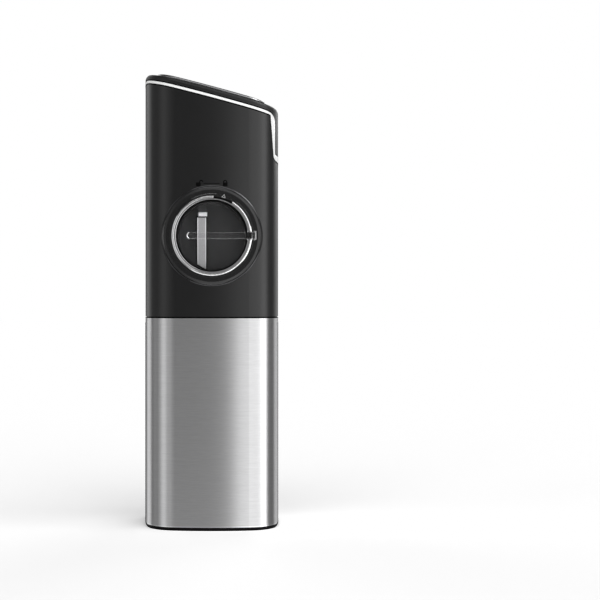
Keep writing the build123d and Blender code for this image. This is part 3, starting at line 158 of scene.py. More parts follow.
class Mixture:
    """Node material that is made step by step around its principled shader."""

    def __init__(self, name: str) -> None:
        """Start with a bare shader.

        Args:
            name: name of the finish.
        """
        self.material = bpy.data.materials.new(name)
        self.material.use_nodes = True
        self.tree = self.material.node_tree
        self.shader = node_of(self.tree, "BSDF_PRINCIPLED")

    def place(self, scale: Point = (1.0, 1.0, 1.0)) -> Socket:
        """Object coordinates stretched by a scale.

        Args:
            scale: stretch along the three axes.

        Returns:
            The stretched coordinates.
        """
        place = new_node(self.tree, "TexCoord").outputs["Object"]
        return new_node(self.tree, "Mapping", {"Vector": place, "Scale": scale}).outputs["Vector"]

    def noise(self, place: Socket, scale: float, detail: float, roughness: float = 0.55) -> Socket:
        """Noise pattern.

        Args:
            place: coordinates of the pattern.
            scale: pattern repeats per metre of coordinate.
            detail: octaves of the pattern.
            roughness: weight of the finer octaves.

        Returns:
            The pattern's factor.
        """
        inputs = {"Vector": place, "Scale": scale, "Detail": detail, "Roughness": roughness}
        return new_node(self.tree, "TexNoise", inputs).outputs["Fac"]

    def reckon(self, operation: str, *terms: float | Socket) -> Socket:
        """Arithmetic on numbers and patterns.

        Args:
            operation: the math node's name for it.
            terms: numbers and sockets, in order.

        Returns:
            The result.
        """
        step = new_node(self.tree, "Math")
        step.operation = operation
        feed(self.tree, step, dict(enumerate(terms)))
        return step.outputs[0]

    def paint(self, pattern: Socket, stops: tuple[float, float], colours: tuple[Colour, Colour]) -> None:
        """Blend the colour along a pattern.

        Args:
            pattern: factor that is read.
            stops: factors at which the blend starts and ends.
            colours: first and last colour.
        """
        blend = new_node(self.tree, "ValToRGB", {"Fac": pattern})
        for stop, place, colour in zip(blend.color_ramp.elements, stops, colours):
            stop.position = place
            stop.color = (*colour, 1.0)
        self.fix({"Base Color": blend.outputs["Color"]})

    def shine(self, pattern: Socket, low: float, high: float) -> None:
        """Vary the roughness along a pattern.

        Args:
            pattern: factor that is read.
            low: roughness where the factor is 0.
            high: roughness where the factor is 1.
        """
        mapper = new_node(self.tree, "MapRange", {"Value": pattern, "To Min": low, "To Max": high})
        self.fix({"Roughness": mapper.outputs["Result"]})

    def bump(self, height: Socket, strength: float, depth: float) -> None:
        """Raise the surface along a pattern.

        Args:
            height: height pattern.
            strength: how much of the relief shows.
            depth: depth of the relief in metres.
        """
        inputs = {"Height": height, "Strength": strength, "Distance": depth}
        self.fix({"Normal": new_node(self.tree, "Bump", inputs).outputs["Normal"]})

    def fix(self, inputs: Inputs) -> None:
        """Set or link inputs of the principled shader."""
        feed(self.tree, self.shader, inputs)


# --- finishes
@dataclass(frozen=True)
class Finish:
    """Finish with a name and a main colour."""

    name: str
    colour: Colour

    def shade(self, factor: float) -> Colour:
        """The colour, lightened or darkened."""
        return tuple(min(1.0, c * factor) for c in self.colour)

    def fill(self, mixture: Mixture) -> None:
        """Fill in the patterns of the finish, each kind in its own way."""
        raise NotImplementedError

    def build(self) -> Material:
        """Make the material.

        Returns:
            The material.
        """
        mixture = Mixture(self.name)
        self.fill(mixture)
        return mixture.material


@dataclass(frozen=True)
class MouldedPlastic(Finish):
    """Moulded plastic with a fine spark-eroded texture."""

    roughness: float = 0.45
    gloss: float = 0.5
    variation: float = 0.10
    coat: float = 0.0
    coat_roughness: float = 0.06
    patches_per_metre: float = 60.0
    grain_size: float = 0.00035
    grain_depth: float = 0.00001
    grain_shine: float = 0.05
    grain_strength: float = 0.35

    def fill(self, mixture: Mixture) -> None:
        """Fill in the patterns of the finish.

        Args:
            mixture: the material in the making.
        """
        place = mixture.place()
        patches = mixture.noise(place, self.patches_per_metre, 2.0)
        colours = (self.shade(1 - self.variation), self.shade(1 + self.variation))
        mixture.paint(patches, SOFT_STOPS, colours)
        grain = mixture.noise(place, 1.0 / self.grain_size, 2.0)
        mixture.shine(grain, self.roughness - self.grain_shine, self.roughness + self.grain_shine)
        mixture.bump(grain, self.grain_strength, self.grain_depth)
        mixture.fix(
            {
                "Specular IOR Level": self.gloss,
                "Coat Weight": self.coat,
                "Coat Roughness": self.coat_roughness,
            }
        )


@dataclass(frozen=True)
class BrushedMetal(Finish):
    """Metal with fine brushing lines along one direction."""

    roughness: float = 0.32
    grain: Grain = Grain.LEVEL
    contrast: float = 0.12
    line: float = 0.00022
    anisotropy: float = 0.0
    turn: float = 0.25
    line_shine: float = 0.06
    strength: float = 0.3
    depth: float = 0.000004
    stops: tuple[float, float] = (0.35, 0.65)
    drawn_out: float = 0.025
    cloudy: float = 0.4
    fine_share: float = 0.8
    fine_detail: tuple[float, float] = (4.0, 0.75)
    broad_scale: float = 0.3
    broad_detail: tuple[float, float] = (2.0, 0.5)

    def fill(self, mixture: Mixture) -> None:
        """Fill in the brushing lines.

        Args:
            mixture: the material in the making.
        """
        scales = {
            Grain.LEVEL: (self.drawn_out, self.drawn_out, 1.0),
            Grain.UPRIGHT: (1.0, 1.0, self.drawn_out),
            Grain.NONE: (self.cloudy, self.cloudy, self.cloudy),
        }
        place = mixture.place(scales[self.grain])
        fine = mixture.noise(place, 1.0 / self.line, *self.fine_detail)
        broad = mixture.noise(place, self.broad_scale / self.line, *self.broad_detail)
        rest = mixture.reckon("MULTIPLY", broad, 1.0 - self.fine_share)
        lines = mixture.reckon("MULTIPLY_ADD", fine, self.fine_share, rest)
        mixture.paint(lines, self.stops, (self.shade(1 - self.contrast), self.shade(1 + self.contrast)))
        mixture.shine(lines, self.roughness + self.line_shine, self.roughness - self.line_shine)
        mixture.bump(lines, self.strength, self.depth)
        mixture.fix({"Metallic": 1.0, "Anisotropic": self.anisotropy, "Anisotropic Rotation": self.turn})


@dataclass(frozen=True)
class SleeveSteel(BrushedMetal):
    """Brushed sleeve with a painted highlight on its two rims: its colour is lighter along the top and
    bottom edges.
    """

    foot: float = 0.0
    top: float = 0.1
    rim: float = 0.0005
    rim_fade: float = 0.3
    highlight_gain: float = 1.35

    def fill(self, mixture: Mixture) -> None:
        """Fill in the brushing lines and the painted highlight on the rims.

        Args:
            mixture: the material in the making.
        """
        super().fill(mixture)
        tree = mixture.tree
        colour = mixture.shader.inputs["Base Color"]
        place = new_node(tree, "TexCoord").outputs["Object"]
        height = new_node(tree, "SeparateXYZ", {"Vector": place}).outputs["Z"]
        from_middle = mixture.reckon("SUBTRACT", height, (self.foot + self.top) / 2)
        reach = (self.top - self.foot) / 2
        inputs = {
            "Value": mixture.reckon("ABSOLUTE", from_middle),
            "From Min": reach - self.rim * (1 + self.rim_fade),
            "From Max": reach - self.rim * (1 - self.rim_fade),
        }
        highlight_share = new_node(tree, "MapRange", inputs)
        # painted highlight: a lighter colour is blended in near the top and bottom edges of the sleeve
        blend = new_node(tree, "Mix")
        blend.data_type = "RGBA"
        brushed, rim_highlight = (i for i in blend.inputs if i.type == "RGBA")
        tree.links.new(colour.links[0].from_socket, brushed)
        rim_highlight.default_value = (*self.shade(self.highlight_gain), 1.0)
        feed(tree, blend, {"Factor": highlight_share.outputs["Result"]})
        tree.links.new(next(o for o in blend.outputs if o.type == "RGBA"), colour)


@dataclass(frozen=True)
class PolishedMetal(Finish):
    """Plated metal with faint wear in its shine."""

    roughness: float = 0.08
    wear_per_metre: float = 900.0
    wear_detail: float = 4.0
    worn: float = 0.98
    worn_shine: tuple[float, float] = (0.85, 1.2)

    def fill(self, mixture: Mixture) -> None:
        """Fill in the wear.

        Args:
            mixture: the material in the making.
        """
        wear = mixture.noise(mixture.place(), self.wear_per_metre, self.wear_detail)
        mixture.paint(wear, SOFT_STOPS, (self.shade(self.worn), self.colour))
        mixture.shine(wear, *(self.roughness * factor for factor in self.worn_shine))
        mixture.fix({"Metallic": 1.0})


@dataclass(frozen=True)
class ClearPlastic(Finish):
    """Clear or smoked polycarbonate, which lets light through to what lies behind it."""

    roughness: float = 0.03
    ior: float = 1.4
    haze_per_metre: float = 180.0
    hazed: float = 0.97
    hazed_shine: tuple[float, float] = (0.7, 1.4)

    def fill(self, mixture: Mixture) -> None:
        """Fill in the haze, and let light through.

        Args:
            mixture: the material in the making.
        """
        haze = mixture.noise(mixture.place(), self.haze_per_metre, 2.0)
        mixture.paint(haze, SOFT_STOPS, (self.shade(self.hazed), self.colour))
        mixture.shine(haze, *(self.roughness * factor for factor in self.hazed_shine))
        mixture.fix({"Transmission Weight": 1.0, "IOR": self.ior})
        tree = mixture.tree
        through = new_node(tree, "BsdfTransparent", {"Color": (*self.colour, 1.0)})
        shadow = new_node(tree, "LightPath").outputs["Is Shadow Ray"]
        show_either(tree, shadow, mixture.shader.outputs["BSDF"], through.outputs["BSDF"])


@dataclass(frozen=True)
class Rubber(Finish):
    """Soft black filling or seal."""

    roughness: tuple[float, float] = (0.55, 0.8)
    dust_per_metre: float = 900.0
    dust_detail: float = 3.0
    dust_stops: tuple[float, float] = (0.35, 0.7)
    dust_strength: float = 0.25
    dust_depth: float = 0.00002
    dusty: tuple[float, float] = (0.8, 1.3)

    def fill(self, mixture: Mixture) -> None:
        """Fill in the dust.

        Args:
            mixture: the material in the making.
        """
        dust = mixture.noise(mixture.place(), self.dust_per_metre, self.dust_detail)
        mixture.paint(dust, self.dust_stops, tuple(self.shade(factor) for factor in self.dusty))
        mixture.shine(dust, *self.roughness)
        mixture.bump(dust, self.dust_strength, self.dust_depth)


@dataclass(frozen=True)
class Board(Finish):
    """Circuit board: green mask with faint traces."""

    roughness: tuple[float, float] = (0.28, 0.42)
    traces_per_metre: float = 420.0
    trace_width: float = 0.03
    mask_per_metre: float = 500.0
    tones: tuple[float, float, float] = (1.0, 0.85, 1.9)

    def fill(self, mixture: Mixture) -> None:
        """Fill in the traces and the mask.

        Args:
            mixture: the material in the making.
        """
        tree = mixture.tree
        place = mixture.place()
        turned = new_node(tree, "VectorRotate", {"Vector": place, "Angle": math.radians(90)})
        turned.rotation_type = "Y_AXIS"
        inputs = {
            "Vector": turned.outputs["Vector"],
            "Scale": self.traces_per_metre,
            "Mortar Size": self.trace_width,
        }
        for socket, factor in zip(("Color1", "Color2", "Mortar"), self.tones):
            inputs[socket] = (*self.shade(factor), 1.0)
        mixture.fix({"Base Color": new_node(tree, "TexBrick", inputs).outputs["Color"]})
        mixture.shine(mixture.noise(place, self.mask_per_metre, 2.0), *self.roughness)


@dataclass(frozen=True)
class Wardrobe:
    """All finishes of the opener, by the material slots of its record."""

    sleeve_foot: float
    sleeve_top: float
    made: dict[str, Material] = field(default_factory=dict)
    # pieces that wear another finish than the rest of their slot
    special: dict[str, str] = field(
        default_factory=lambda: {
            # deck and base ring are near black as painted shade: the deck where it shows in the seam, the
            # base ring at the shaded foot
            "deck": "painted_shade_black",
            "base_ring": "painted_shade_black",
            "top_cap": "cap_black",
            "top_panel": "panel_gloss",
            "dial_collar": "collar_black",
            "knife_blade": "blade_steel",
            "rocker": "rocker_chrome",
            # the tool bay is darkened as painted shade of its recess
            "tool_bay": "bay_shade_black",
        }
    )

    def finishes(self) -> dict[str, Finish]:
        """Every finish of the opener.

        Returns:
            The finishes, by their slots or keys.
        """
        return {
            "black_plastic": MouldedPlastic("black_housing", (0.0045, 0.0045, 0.0047), 0.33, 0.54),
            "gloss_black": MouldedPlastic("gloss_black", (0.004, 0.004, 0.0042), 0.2, 0.6, 0.04),
            "collar_black": MouldedPlastic("collar_black", (0.004, 0.004, 0.0042), 0.26, 0.6, 0.04),
            # painted shade: near-black, nearly matte finish for the dark seams, the deck and the base ring
            "painted_shade_black": MouldedPlastic("painted_shade_black", (0.0012, 0.0012, 0.0012), 0.6, 0.1),
            # brushed steel, with a painted highlight along its two rims
            "steel_skin": SleeveSteel(
                "brushed_sleeve",
                (0.60, 0.60, 0.605),
                0.33,
                contrast=0.09,
                line=0.00014,
                anisotropy=0.75,
                foot=self.sleeve_foot,
                top=self.sleeve_top,
            ),
            "white_trim": MouldedPlastic("light_trim", (0.92, 0.92, 0.92), 0.3, 0.5, 0.01),
            "inner_plastic": MouldedPlastic("inner_moulding", (0.03, 0.03, 0.032), 0.5),
            "gear_plastic": MouldedPlastic("acetal", (0.80, 0.78, 0.70), 0.35, 0.5, 0.04),
            "gear_steel": BrushedMetal("sintered_steel", (0.42, 0.42, 0.43), 0.4, Grain.NONE),
            "worm_steel": PolishedMetal("plated_steel", (0.72, 0.72, 0.73), 0.14),
            "blade_steel": BrushedMetal(
                "blade_steel", (0.46, 0.46, 0.46), 0.34, contrast=0.08, line=0.00012
            ),
            "bright_chrome": PolishedMetal("chrome", (0.88, 0.88, 0.89), 0.10),
            "rocker_chrome": PolishedMetal("satin_chrome", (0.76, 0.76, 0.77), 0.2),
            "smoked_lens": ClearPlastic("smoked_window", (0.93, 0.93, 0.94)),
            "clear_plastic": ClearPlastic("clear_grip", (0.97, 0.97, 0.97), 0.02),
            "bronze": BrushedMetal("bearing_bronze", (0.55, 0.38, 0.18), 0.35, Grain.NONE),
            "zinc_screw": BrushedMetal("zinc_plate", (0.62, 0.62, 0.64), 0.28, Grain.NONE, 0.06),
            "motor_steel": BrushedMetal("nickelled_sheet", (0.66, 0.66, 0.66), 0.24, Grain.UPRIGHT, 0.05),
            "magnet": MouldedPlastic("ferrite", (0.05, 0.05, 0.052), 0.6),
            "copper": BrushedMetal("winding_copper", (0.60, 0.28, 0.13), 0.35, Grain.UPRIGHT, 0.25, 0.0005),
            "cell_wrap": MouldedPlastic("cell_sleeve", (0.05, 0.20, 0.42), 0.3, coat=0.3),
            "nickel": BrushedMetal("nickel_strip", (0.66, 0.63, 0.57), 0.3, Grain.NONE, 0.05),
            "board": Board("board_mask", (0.02, 0.13, 0.06)),
            "chip": MouldedPlastic("chip_package", (0.025, 0.025, 0.026), 0.55),
            "rubber_black": Rubber("black_rubber", (0.006, 0.006, 0.006)),
            # printed ink, and also the near-black of strips that are painted shade: beside the trim line,
            # around the top panel, around the blade and under the ferrule
            "mark_ink": MouldedPlastic("mark_ink", (0.0015, 0.0015, 0.0015), 0.7, 0.05),
            "ferrule_tin": BrushedMetal("ferrule_tin", (0.98, 0.98, 0.98), 0.36, Grain.NONE, 0.02),
            # tool bay: black, darker than the inner moulding as painted shade of the recess behind the
            # window
            "bay_shade_black": MouldedPlastic("bay_shade_black", (0.011, 0.011, 0.0112), 0.5),
            "ridge_chrome": PolishedMetal("ridge_chrome", (0.97, 0.97, 0.97), 0.15),
            "cap_black": MouldedPlastic("cap_black", (0.005, 0.005, 0.0052), 0.46, 0.4),
            "panel_gloss": PolishedMetal("panel_gloss", (0.25, 0.25, 0.255), 0.27),
            "bead_black": PolishedMetal("bead_black", (0.08, 0.08, 0.082), 0.2),
            # painted highlight: light tin strips along the blade's edges
            "highlight_tin": BrushedMetal("highlight_tin", (0.92, 0.92, 0.92), 0.36, Grain.NONE, 0.02),
            "pointer_grey": MouldedPlastic("pointer_grey", (0.42, 0.42, 0.42), 0.3, 0.5, 0.02),
        }

    def of(self, slot: str) -> Material:
        """Material of a slot or key, made once.

        Args:
            slot: material slot of the record, or a finish's own key.

        Returns:
            The material.
        """
        if slot not in self.made:
            self.made[slot] = self.finishes()[slot].build()
        return self.made[slot]

    def dress(self, frame: dict) -> None:
        """Give every rigid piece the finish of its slot.

        Args:
            frame: the loaded model.
        """
        slots = {part["node"]: part["material_slot"] for part in frame["record"]["subparts"]}
        for node, piece in frame["nodes"].items():
            piece.data.materials.clear()
            piece.data.materials.append(self.of(self.special.get(node, slots[node])))
        LOG.info("dressed %d rigid pieces", len(frame["nodes"]))


# --- modelling helpers
def start_clean() -> None:
    """Leave edit mode and deselect everything."""
    if bpy.context.object and bpy.context.object.mode != "OBJECT":
        bpy.ops.object.mode_set(mode="OBJECT")
    bpy.ops.object.select_all(action="DESELECT")


def pick(piece: Piece) -> None:
    """Select one piece alone and make it the active one.

    Args:
        piece: the object.
    """
    start_clean()
    piece.select_set(True)
    bpy.context.view_layer.objects.active = piece


def open_up(piece: Piece) -> None:
    """Open one piece in edit mode with all of it selected.

    Args:
        piece: the object.
    """
    pick(piece)
    bpy.ops.object.mode_set(mode="EDIT")
    bpy.ops.mesh.select_all(action="SELECT")


def close_up() -> None:
    """Leave edit mode."""
    bpy.ops.object.mode_set(mode="OBJECT")


def place_in_mesh() -> Piece:
    """Apply the active piece's place, turn and size to its mesh, and give the piece back."""
    bpy.ops.object.transform_apply(location=True, rotation=True, scale=True)
    return bpy.context.object


def smooth(angle: float) -> None:
    """Shade the active piece smooth where its faces meet below an angle in degrees."""
    bpy.ops.object.shade_smooth_by_angle(angle=math.radians(angle))


def close_seams(piece: Piece) -> None:
    """Merge a piece's doubles and turn its faces outwards.

    Args:
        piece: the object.
    """
    open_up(piece)
    bpy.ops.mesh.remove_doubles(threshold=MERGE)
    bpy.ops.mesh.normals_make_consistent(inside=False)
    close_up()


def reshape(piece: Piece, share: Point, centre: Point, step: Point = ORIGIN) -> None:
    """Stretch a piece about a point, then move it.

    Args:
        piece: the object.
        share: stretch along the three axes.
        centre: the point that stays.
        step: the move.
    """
    open_up(piece)
    bpy.ops.transform.resize(value=share, center_override=centre)
    bpy.ops.transform.translate(value=step)
    close_up()


def cut_away(piece: Piece, point: Point, outward: Point) -> None:
    """Cut off what lies beyond a plane, and close the cut.

    Args:
        piece: the object.
        point: a point of the plane.
        outward: direction of what is cut off.
    """
    open_up(piece)
    bpy.ops.mesh.bisect(plane_co=point, plane_no=outward, clear_outer=True, use_fill=True)
    close_up()


def work_in(piece: Piece, kind: str, **settings: object) -> None:
    """Add a modifier to a piece and apply it.

    Args:
        piece: the object.
        kind: kind of the modifier.
        settings: its settings.
    """
    pick(piece)
    modifier = piece.modifiers.new(kind, kind)
    for key, value in settings.items():
        setattr(modifier, key, value)
    bpy.ops.object.modifier_apply(modifier=modifier.name)


def bevel(piece: Piece, width: float, segments: int = 2) -> None:
    """Round the edges of a piece.

    Args:
        piece: the object.
        width: width of the rounding in metres.
        segments: steps of the rounding.
    """
    work_in(piece, "BEVEL", width=width, segments=segments, limit_method="ANGLE")
    smooth(ANGLE_OF_EDGE)


def join(pieces: list[Piece]) -> Piece:
    """Join pieces into the first of them.

    Args:
        pieces: objects to join.

    Returns:
        The joined object.
    """
    start_clean()
    for piece in pieces:
        piece.select_set(True)
    bpy.context.view_layer.objects.active = pieces[0]
    bpy.ops.object.join()
    return pieces[0]


def block(centre: Point, size: Point) -> Piece:
    """Rectangular block.

    Args:
        centre: its middle.
        size: its three sizes.

    Returns:
        The block.
    """
    start_clean()
    bpy.ops.mesh.primitive_cube_add(size=1.0, location=centre)
    piece = bpy.context.object
    piece.scale = size
    bpy.ops.object.transform_apply(location=False, rotation=False, scale=True)
    return piece


def ring(centre: Point, radius: float, wire: float, steps: tuple[int, int]) -> Piece:
    """Ring of round wire that faces the front.

    Args:
        centre: its middle.
        radius: radius of the ring.
        wire: radius of its wire.
        steps: steps around the ring and around its wire.

    Returns:
        The ring.
    """
    start_clean()
    bpy.ops.mesh.primitive_torus_add(
        location=centre,
        rotation=FACING_FRONT,
        major_radius=radius,
        minor_radius=wire,
        major_segments=steps[0],
        minor_segments=steps[1],
    )
    return place_in_mesh()


def middle_of(box: tuple[Point, Point]) -> Vector:
    """Middle of a box, given by its lowest and highest corner."""
    return (Vector(box[0]) + Vector(box[1])) / 2


def around(centre: Vector, angle: float, radius: float, y: float) -> Point:
    """Point on an upright circle.

    Args:
        centre: middle of the circle.
        angle: degrees clockwise from the top.
        radius: its radius.
        y: depth of the point.

    Returns:
        The point.
    """
    turn = math.radians(angle)
    return (centre.x + radius * math.sin(turn), y, centre.z + radius * math.cos(turn))


@dataclass
class Assembly:
    """Sub-assembly that is modelled over the rigid pieces and dressed from one wardrobe."""

    nodes: dict[str, Piece]
    wardrobe: Wardrobe

    def copy_of(self, node: str) -> Piece:
        """Copy of a rigid piece with its loose triangles merged.

        Args:
            node: the rigid piece's name.

        Returns:
            The copy.
        """
        piece = bpy.data.objects.new(node, self.nodes[node].data.copy())
        bpy.context.scene.collection.objects.link(piece)
        open_up(piece)
        bpy.ops.mesh.customdata_custom_splitnormals_clear()
        close_seams(piece)
        smooth(ANGLE_OF_SOLID)
        return piece

    def settle(self, piece: Piece, name: str, finish: str, body: str = "housing") -> None:
        """Name, dress and mount a finished piece, with its place applied to its mesh.

        Args:
            piece: the modelled object.
            name: name of the piece.
            finish: key of its finish.
            body: body of the model that it moves with.
        """
        pick(piece)
        place_in_mesh()
        piece.name = name
        piece.data.name = name
        piece.data.materials.clear()
        piece.data.materials.append(self.wardrobe.of(finish))
        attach(piece, body)
        LOG.info("made %s on %s", name, body)


# --- lock marks
@dataclass
class LockMarks(Assembly):
    """Printed marks above the dial: an open lock, a line and a closed lock."""

    dial: Vector
    surface: float
    radius: float = 0.0258
    swing: float = 14.4
    body_width: float = 0.0022
    body_height: float = 0.0017
    body_drop: float = 0.0004
    bow_share: float = 0.34
    bow_swing: float = 0.62
    bow_rise: float = 0.0003
    bow_steps: tuple[int, int] = (24, 8)
    leg_rise: float = 0.00012
    leg_height: float = 0.0004
    stroke: float = 0.0005
    thickness: float = 0.00022
    edge: float = 0.00005
    line_length: float = 0.0076
    line_height: float = 0.00034
    line_rise: float = 0.00005
    line_edge: float = 0.00004

    def padlock(self, centre: Point, opened: bool) -> Piece:
        """One padlock glyph: a filled body and a bow.

        Args:
            centre: middle of the glyph.
            opened: whether the bow is swung aside.

        Returns:
            The glyph.
        """
        x, y, z = centre
        body = block((x, y, z - self.body_drop), (self.body_width, self.thickness, self.body_height))
        radius = self.body_width * self.bow_share
        middle = x + (self.body_width * self.bow_swing if opened else 0.0)
        base = z - self.body_drop + self.body_height / 2
        hinge = (middle, y, base + self.bow_rise)
        bow = ring(hinge, radius, self.stroke / 2, self.bow_steps)
        cut_away(bow, hinge, (0, 0, -1))
        legs = [
            block(
                (middle + side * radius, y, base + self.leg_rise),
                (self.stroke, self.thickness, self.leg_height),
            )
            for side in ((-1,) if opened else (-1, 1))
        ]
        return join([body, bow, *legs])

    def build(self) -> None:
        """Make the marks."""
        for name, angle, opened in (("mark_open", -self.swing, True), ("mark_closed", self.swing, False)):
            lock = self.padlock(around(self.dial, angle, self.radius, self.surface), opened)
            bevel(lock, self.edge)
            self.settle(lock, name, "mark_ink")
        _, y, z = around(self.dial, self.swing, self.radius, self.surface)
        line = block(
            (self.dial.x, y, z + self.line_rise), (self.line_length, self.thickness, self.line_height)
        )
        bevel(line, self.line_edge)
        self.settle(line, "mark_line", "mark_ink")


# --- trim line and seams
@dataclass
class TrimLine(Assembly):
    """Bright line between cap and housing, with dark strips on both sides of it, and the dark seam
    above the sleeve. The dark strips and the seam are painted shade of the gaps.

    The line stands proud of the body by a hair, and the dark strips and the seam are nearly flush.
    """

    widened: float = 0.00008
    narrowed: float = 0.0002
    proud: float = 0.00008
    lowered: float = 0.00012
    gap_shade_spread: float = 0.0007
    side_gap_shade_spread: float = 0.0004
    flush: float = 0.000045
    rim_slant: float = 0.6
    level_slant: float = 0.5
    seam_shade_above: float = 0.0003
    seam_shade_below: float = 0.00028
    seam_lap: float = 0.001
    gap: float = 0.0004
    gap_sunk: float = 0.00088

    def rim_side(self, face: bpy.types.MeshPolygon) -> int | None:
        """Which rim of the trim a face belongs to.

        Args:
            face: a face of the trim.

        Returns:
            1 for an upper rim, -1 for a lower one, 0 for an upright one, or none for another face.
        """
        outward = Vector((face.center.x, face.center.y, 0)).normalized()
        if abs(face.normal.dot(outward)) >= self.rim_slant:
            return None
        if abs(face.normal.z) < self.level_slant:
            return 0
        return 1 if face.normal.z > 0 else -1

    def spread_rims(self, piece: Piece, level: float, side: float) -> None:
        """Move the rims of a copy of the trim within the body's surface.

        Args:
            piece: the copy.
            level: step of the upper rims up and of the lower rims down.
            side: step of the tongue's upright rims, outward of the line.
        """
        for rim in (1, -1, 0):
            open_up(piece)
            bpy.ops.mesh.select_mode(type="FACE")
            bpy.ops.mesh.select_all(action="DESELECT")
            close_up()
            for face in piece.data.polygons:
                face.select = self.rim_side(face) == rim
            bpy.ops.object.mode_set(mode="EDIT")
            if rim:
                bpy.ops.transform.translate(value=(0, 0, rim * level))
            else:
                bpy.ops.transform.shrink_fatten(value=side)
            bpy.ops.mesh.select_mode(type="VERT")
            close_up()

    def stand_off(self, piece: Piece, step: float) -> None:
        """Let a copy of the trim stand off the body, a little lower than its solid.

        Args:
            piece: the copy.
            step: how far it stands off.
        """
        share = 1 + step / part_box("trim_frame")[1][0]
        reshape(piece, (share, share, 1.0), ORIGIN, (0, 0, -self.lowered))

    def line(self) -> None:
        """Bright line, a hair thicker than its solid and finer at the tongue."""
        piece = self.copy_of("trim_frame")
        self.spread_rims(piece, self.widened, -self.narrowed)
        self.stand_off(piece, self.proud)
        self.settle(piece, "trim_line", "white_trim")
        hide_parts("trim_frame")

    def bed(self) -> None:
        """Dark strip that shows as a hairline on both sides of the bright line, as painted shade of the
        gaps.
        """
        piece = self.copy_of("trim_frame")
        self.spread_rims(piece, self.gap_shade_spread, self.side_gap_shade_spread)
        self.stand_off(piece, self.flush)
        self.settle(piece, "trim_gap_shade", "mark_ink")

    def seam(self, node: str, name: str, low: float, high: float) -> None:
        """Dark band around the body, just off its surface: painted shade of the seam.

        Args:
            node: name of the rigid piece that it lies on.
            name: name of the band.
            low: height of its foot.
            high: height of its top.
        """
        share = 1 + self.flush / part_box("lower_sleeve")[1][0]
        piece = self.copy_of(node)
        cut_away(piece, (0, 0, low), (0, 0, -1))
        cut_away(piece, (0, 0, high), (0, 0, 1))
        reshape(piece, (share, share, 1.0), ORIGIN)
        self.settle(piece, name, "painted_shade_black")

    def panel_gap_shade(self) -> None:
        """Dark strip around the top panel, as painted shade of the gap between panel and cap."""
        low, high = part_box("top_panel")
        piece = self.copy_of("top_panel")
        wide = [1 + 2 * self.gap / (high[i] - low[i]) for i in (0, 1)]
        reshape(piece, (*wide, 1.0), middle_of((low, high)), (0, 0, -self.gap_sunk))
        self.settle(piece, "panel_gap_shade", "mark_ink")

    def build(self) -> None:
        """Make the line, the painted shade beside it and the dark seams, which are painted shade too."""
        self.line()
        self.bed()
        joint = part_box("lower_sleeve")[1][2]
        self.seam("upper_housing", "seam_shade_above", joint, joint + self.seam_shade_above)
        self.seam("lower_sleeve", "seam_shade_below", joint - self.seam_shade_below, joint + self.seam_lap)
        self.panel_gap_shade()


# --- dial
@dataclass(frozen=True)
class Band:
    """Flat arc around the dial.

    The span is its start and end in degrees clockwise from the top, and the front is the depth
    of its front face.
    """

    name: str
    span: tuple[float, float]
    radii: tuple[float, float]
    front: float
    thickness: float
    finish: str
    body: str = "lid"


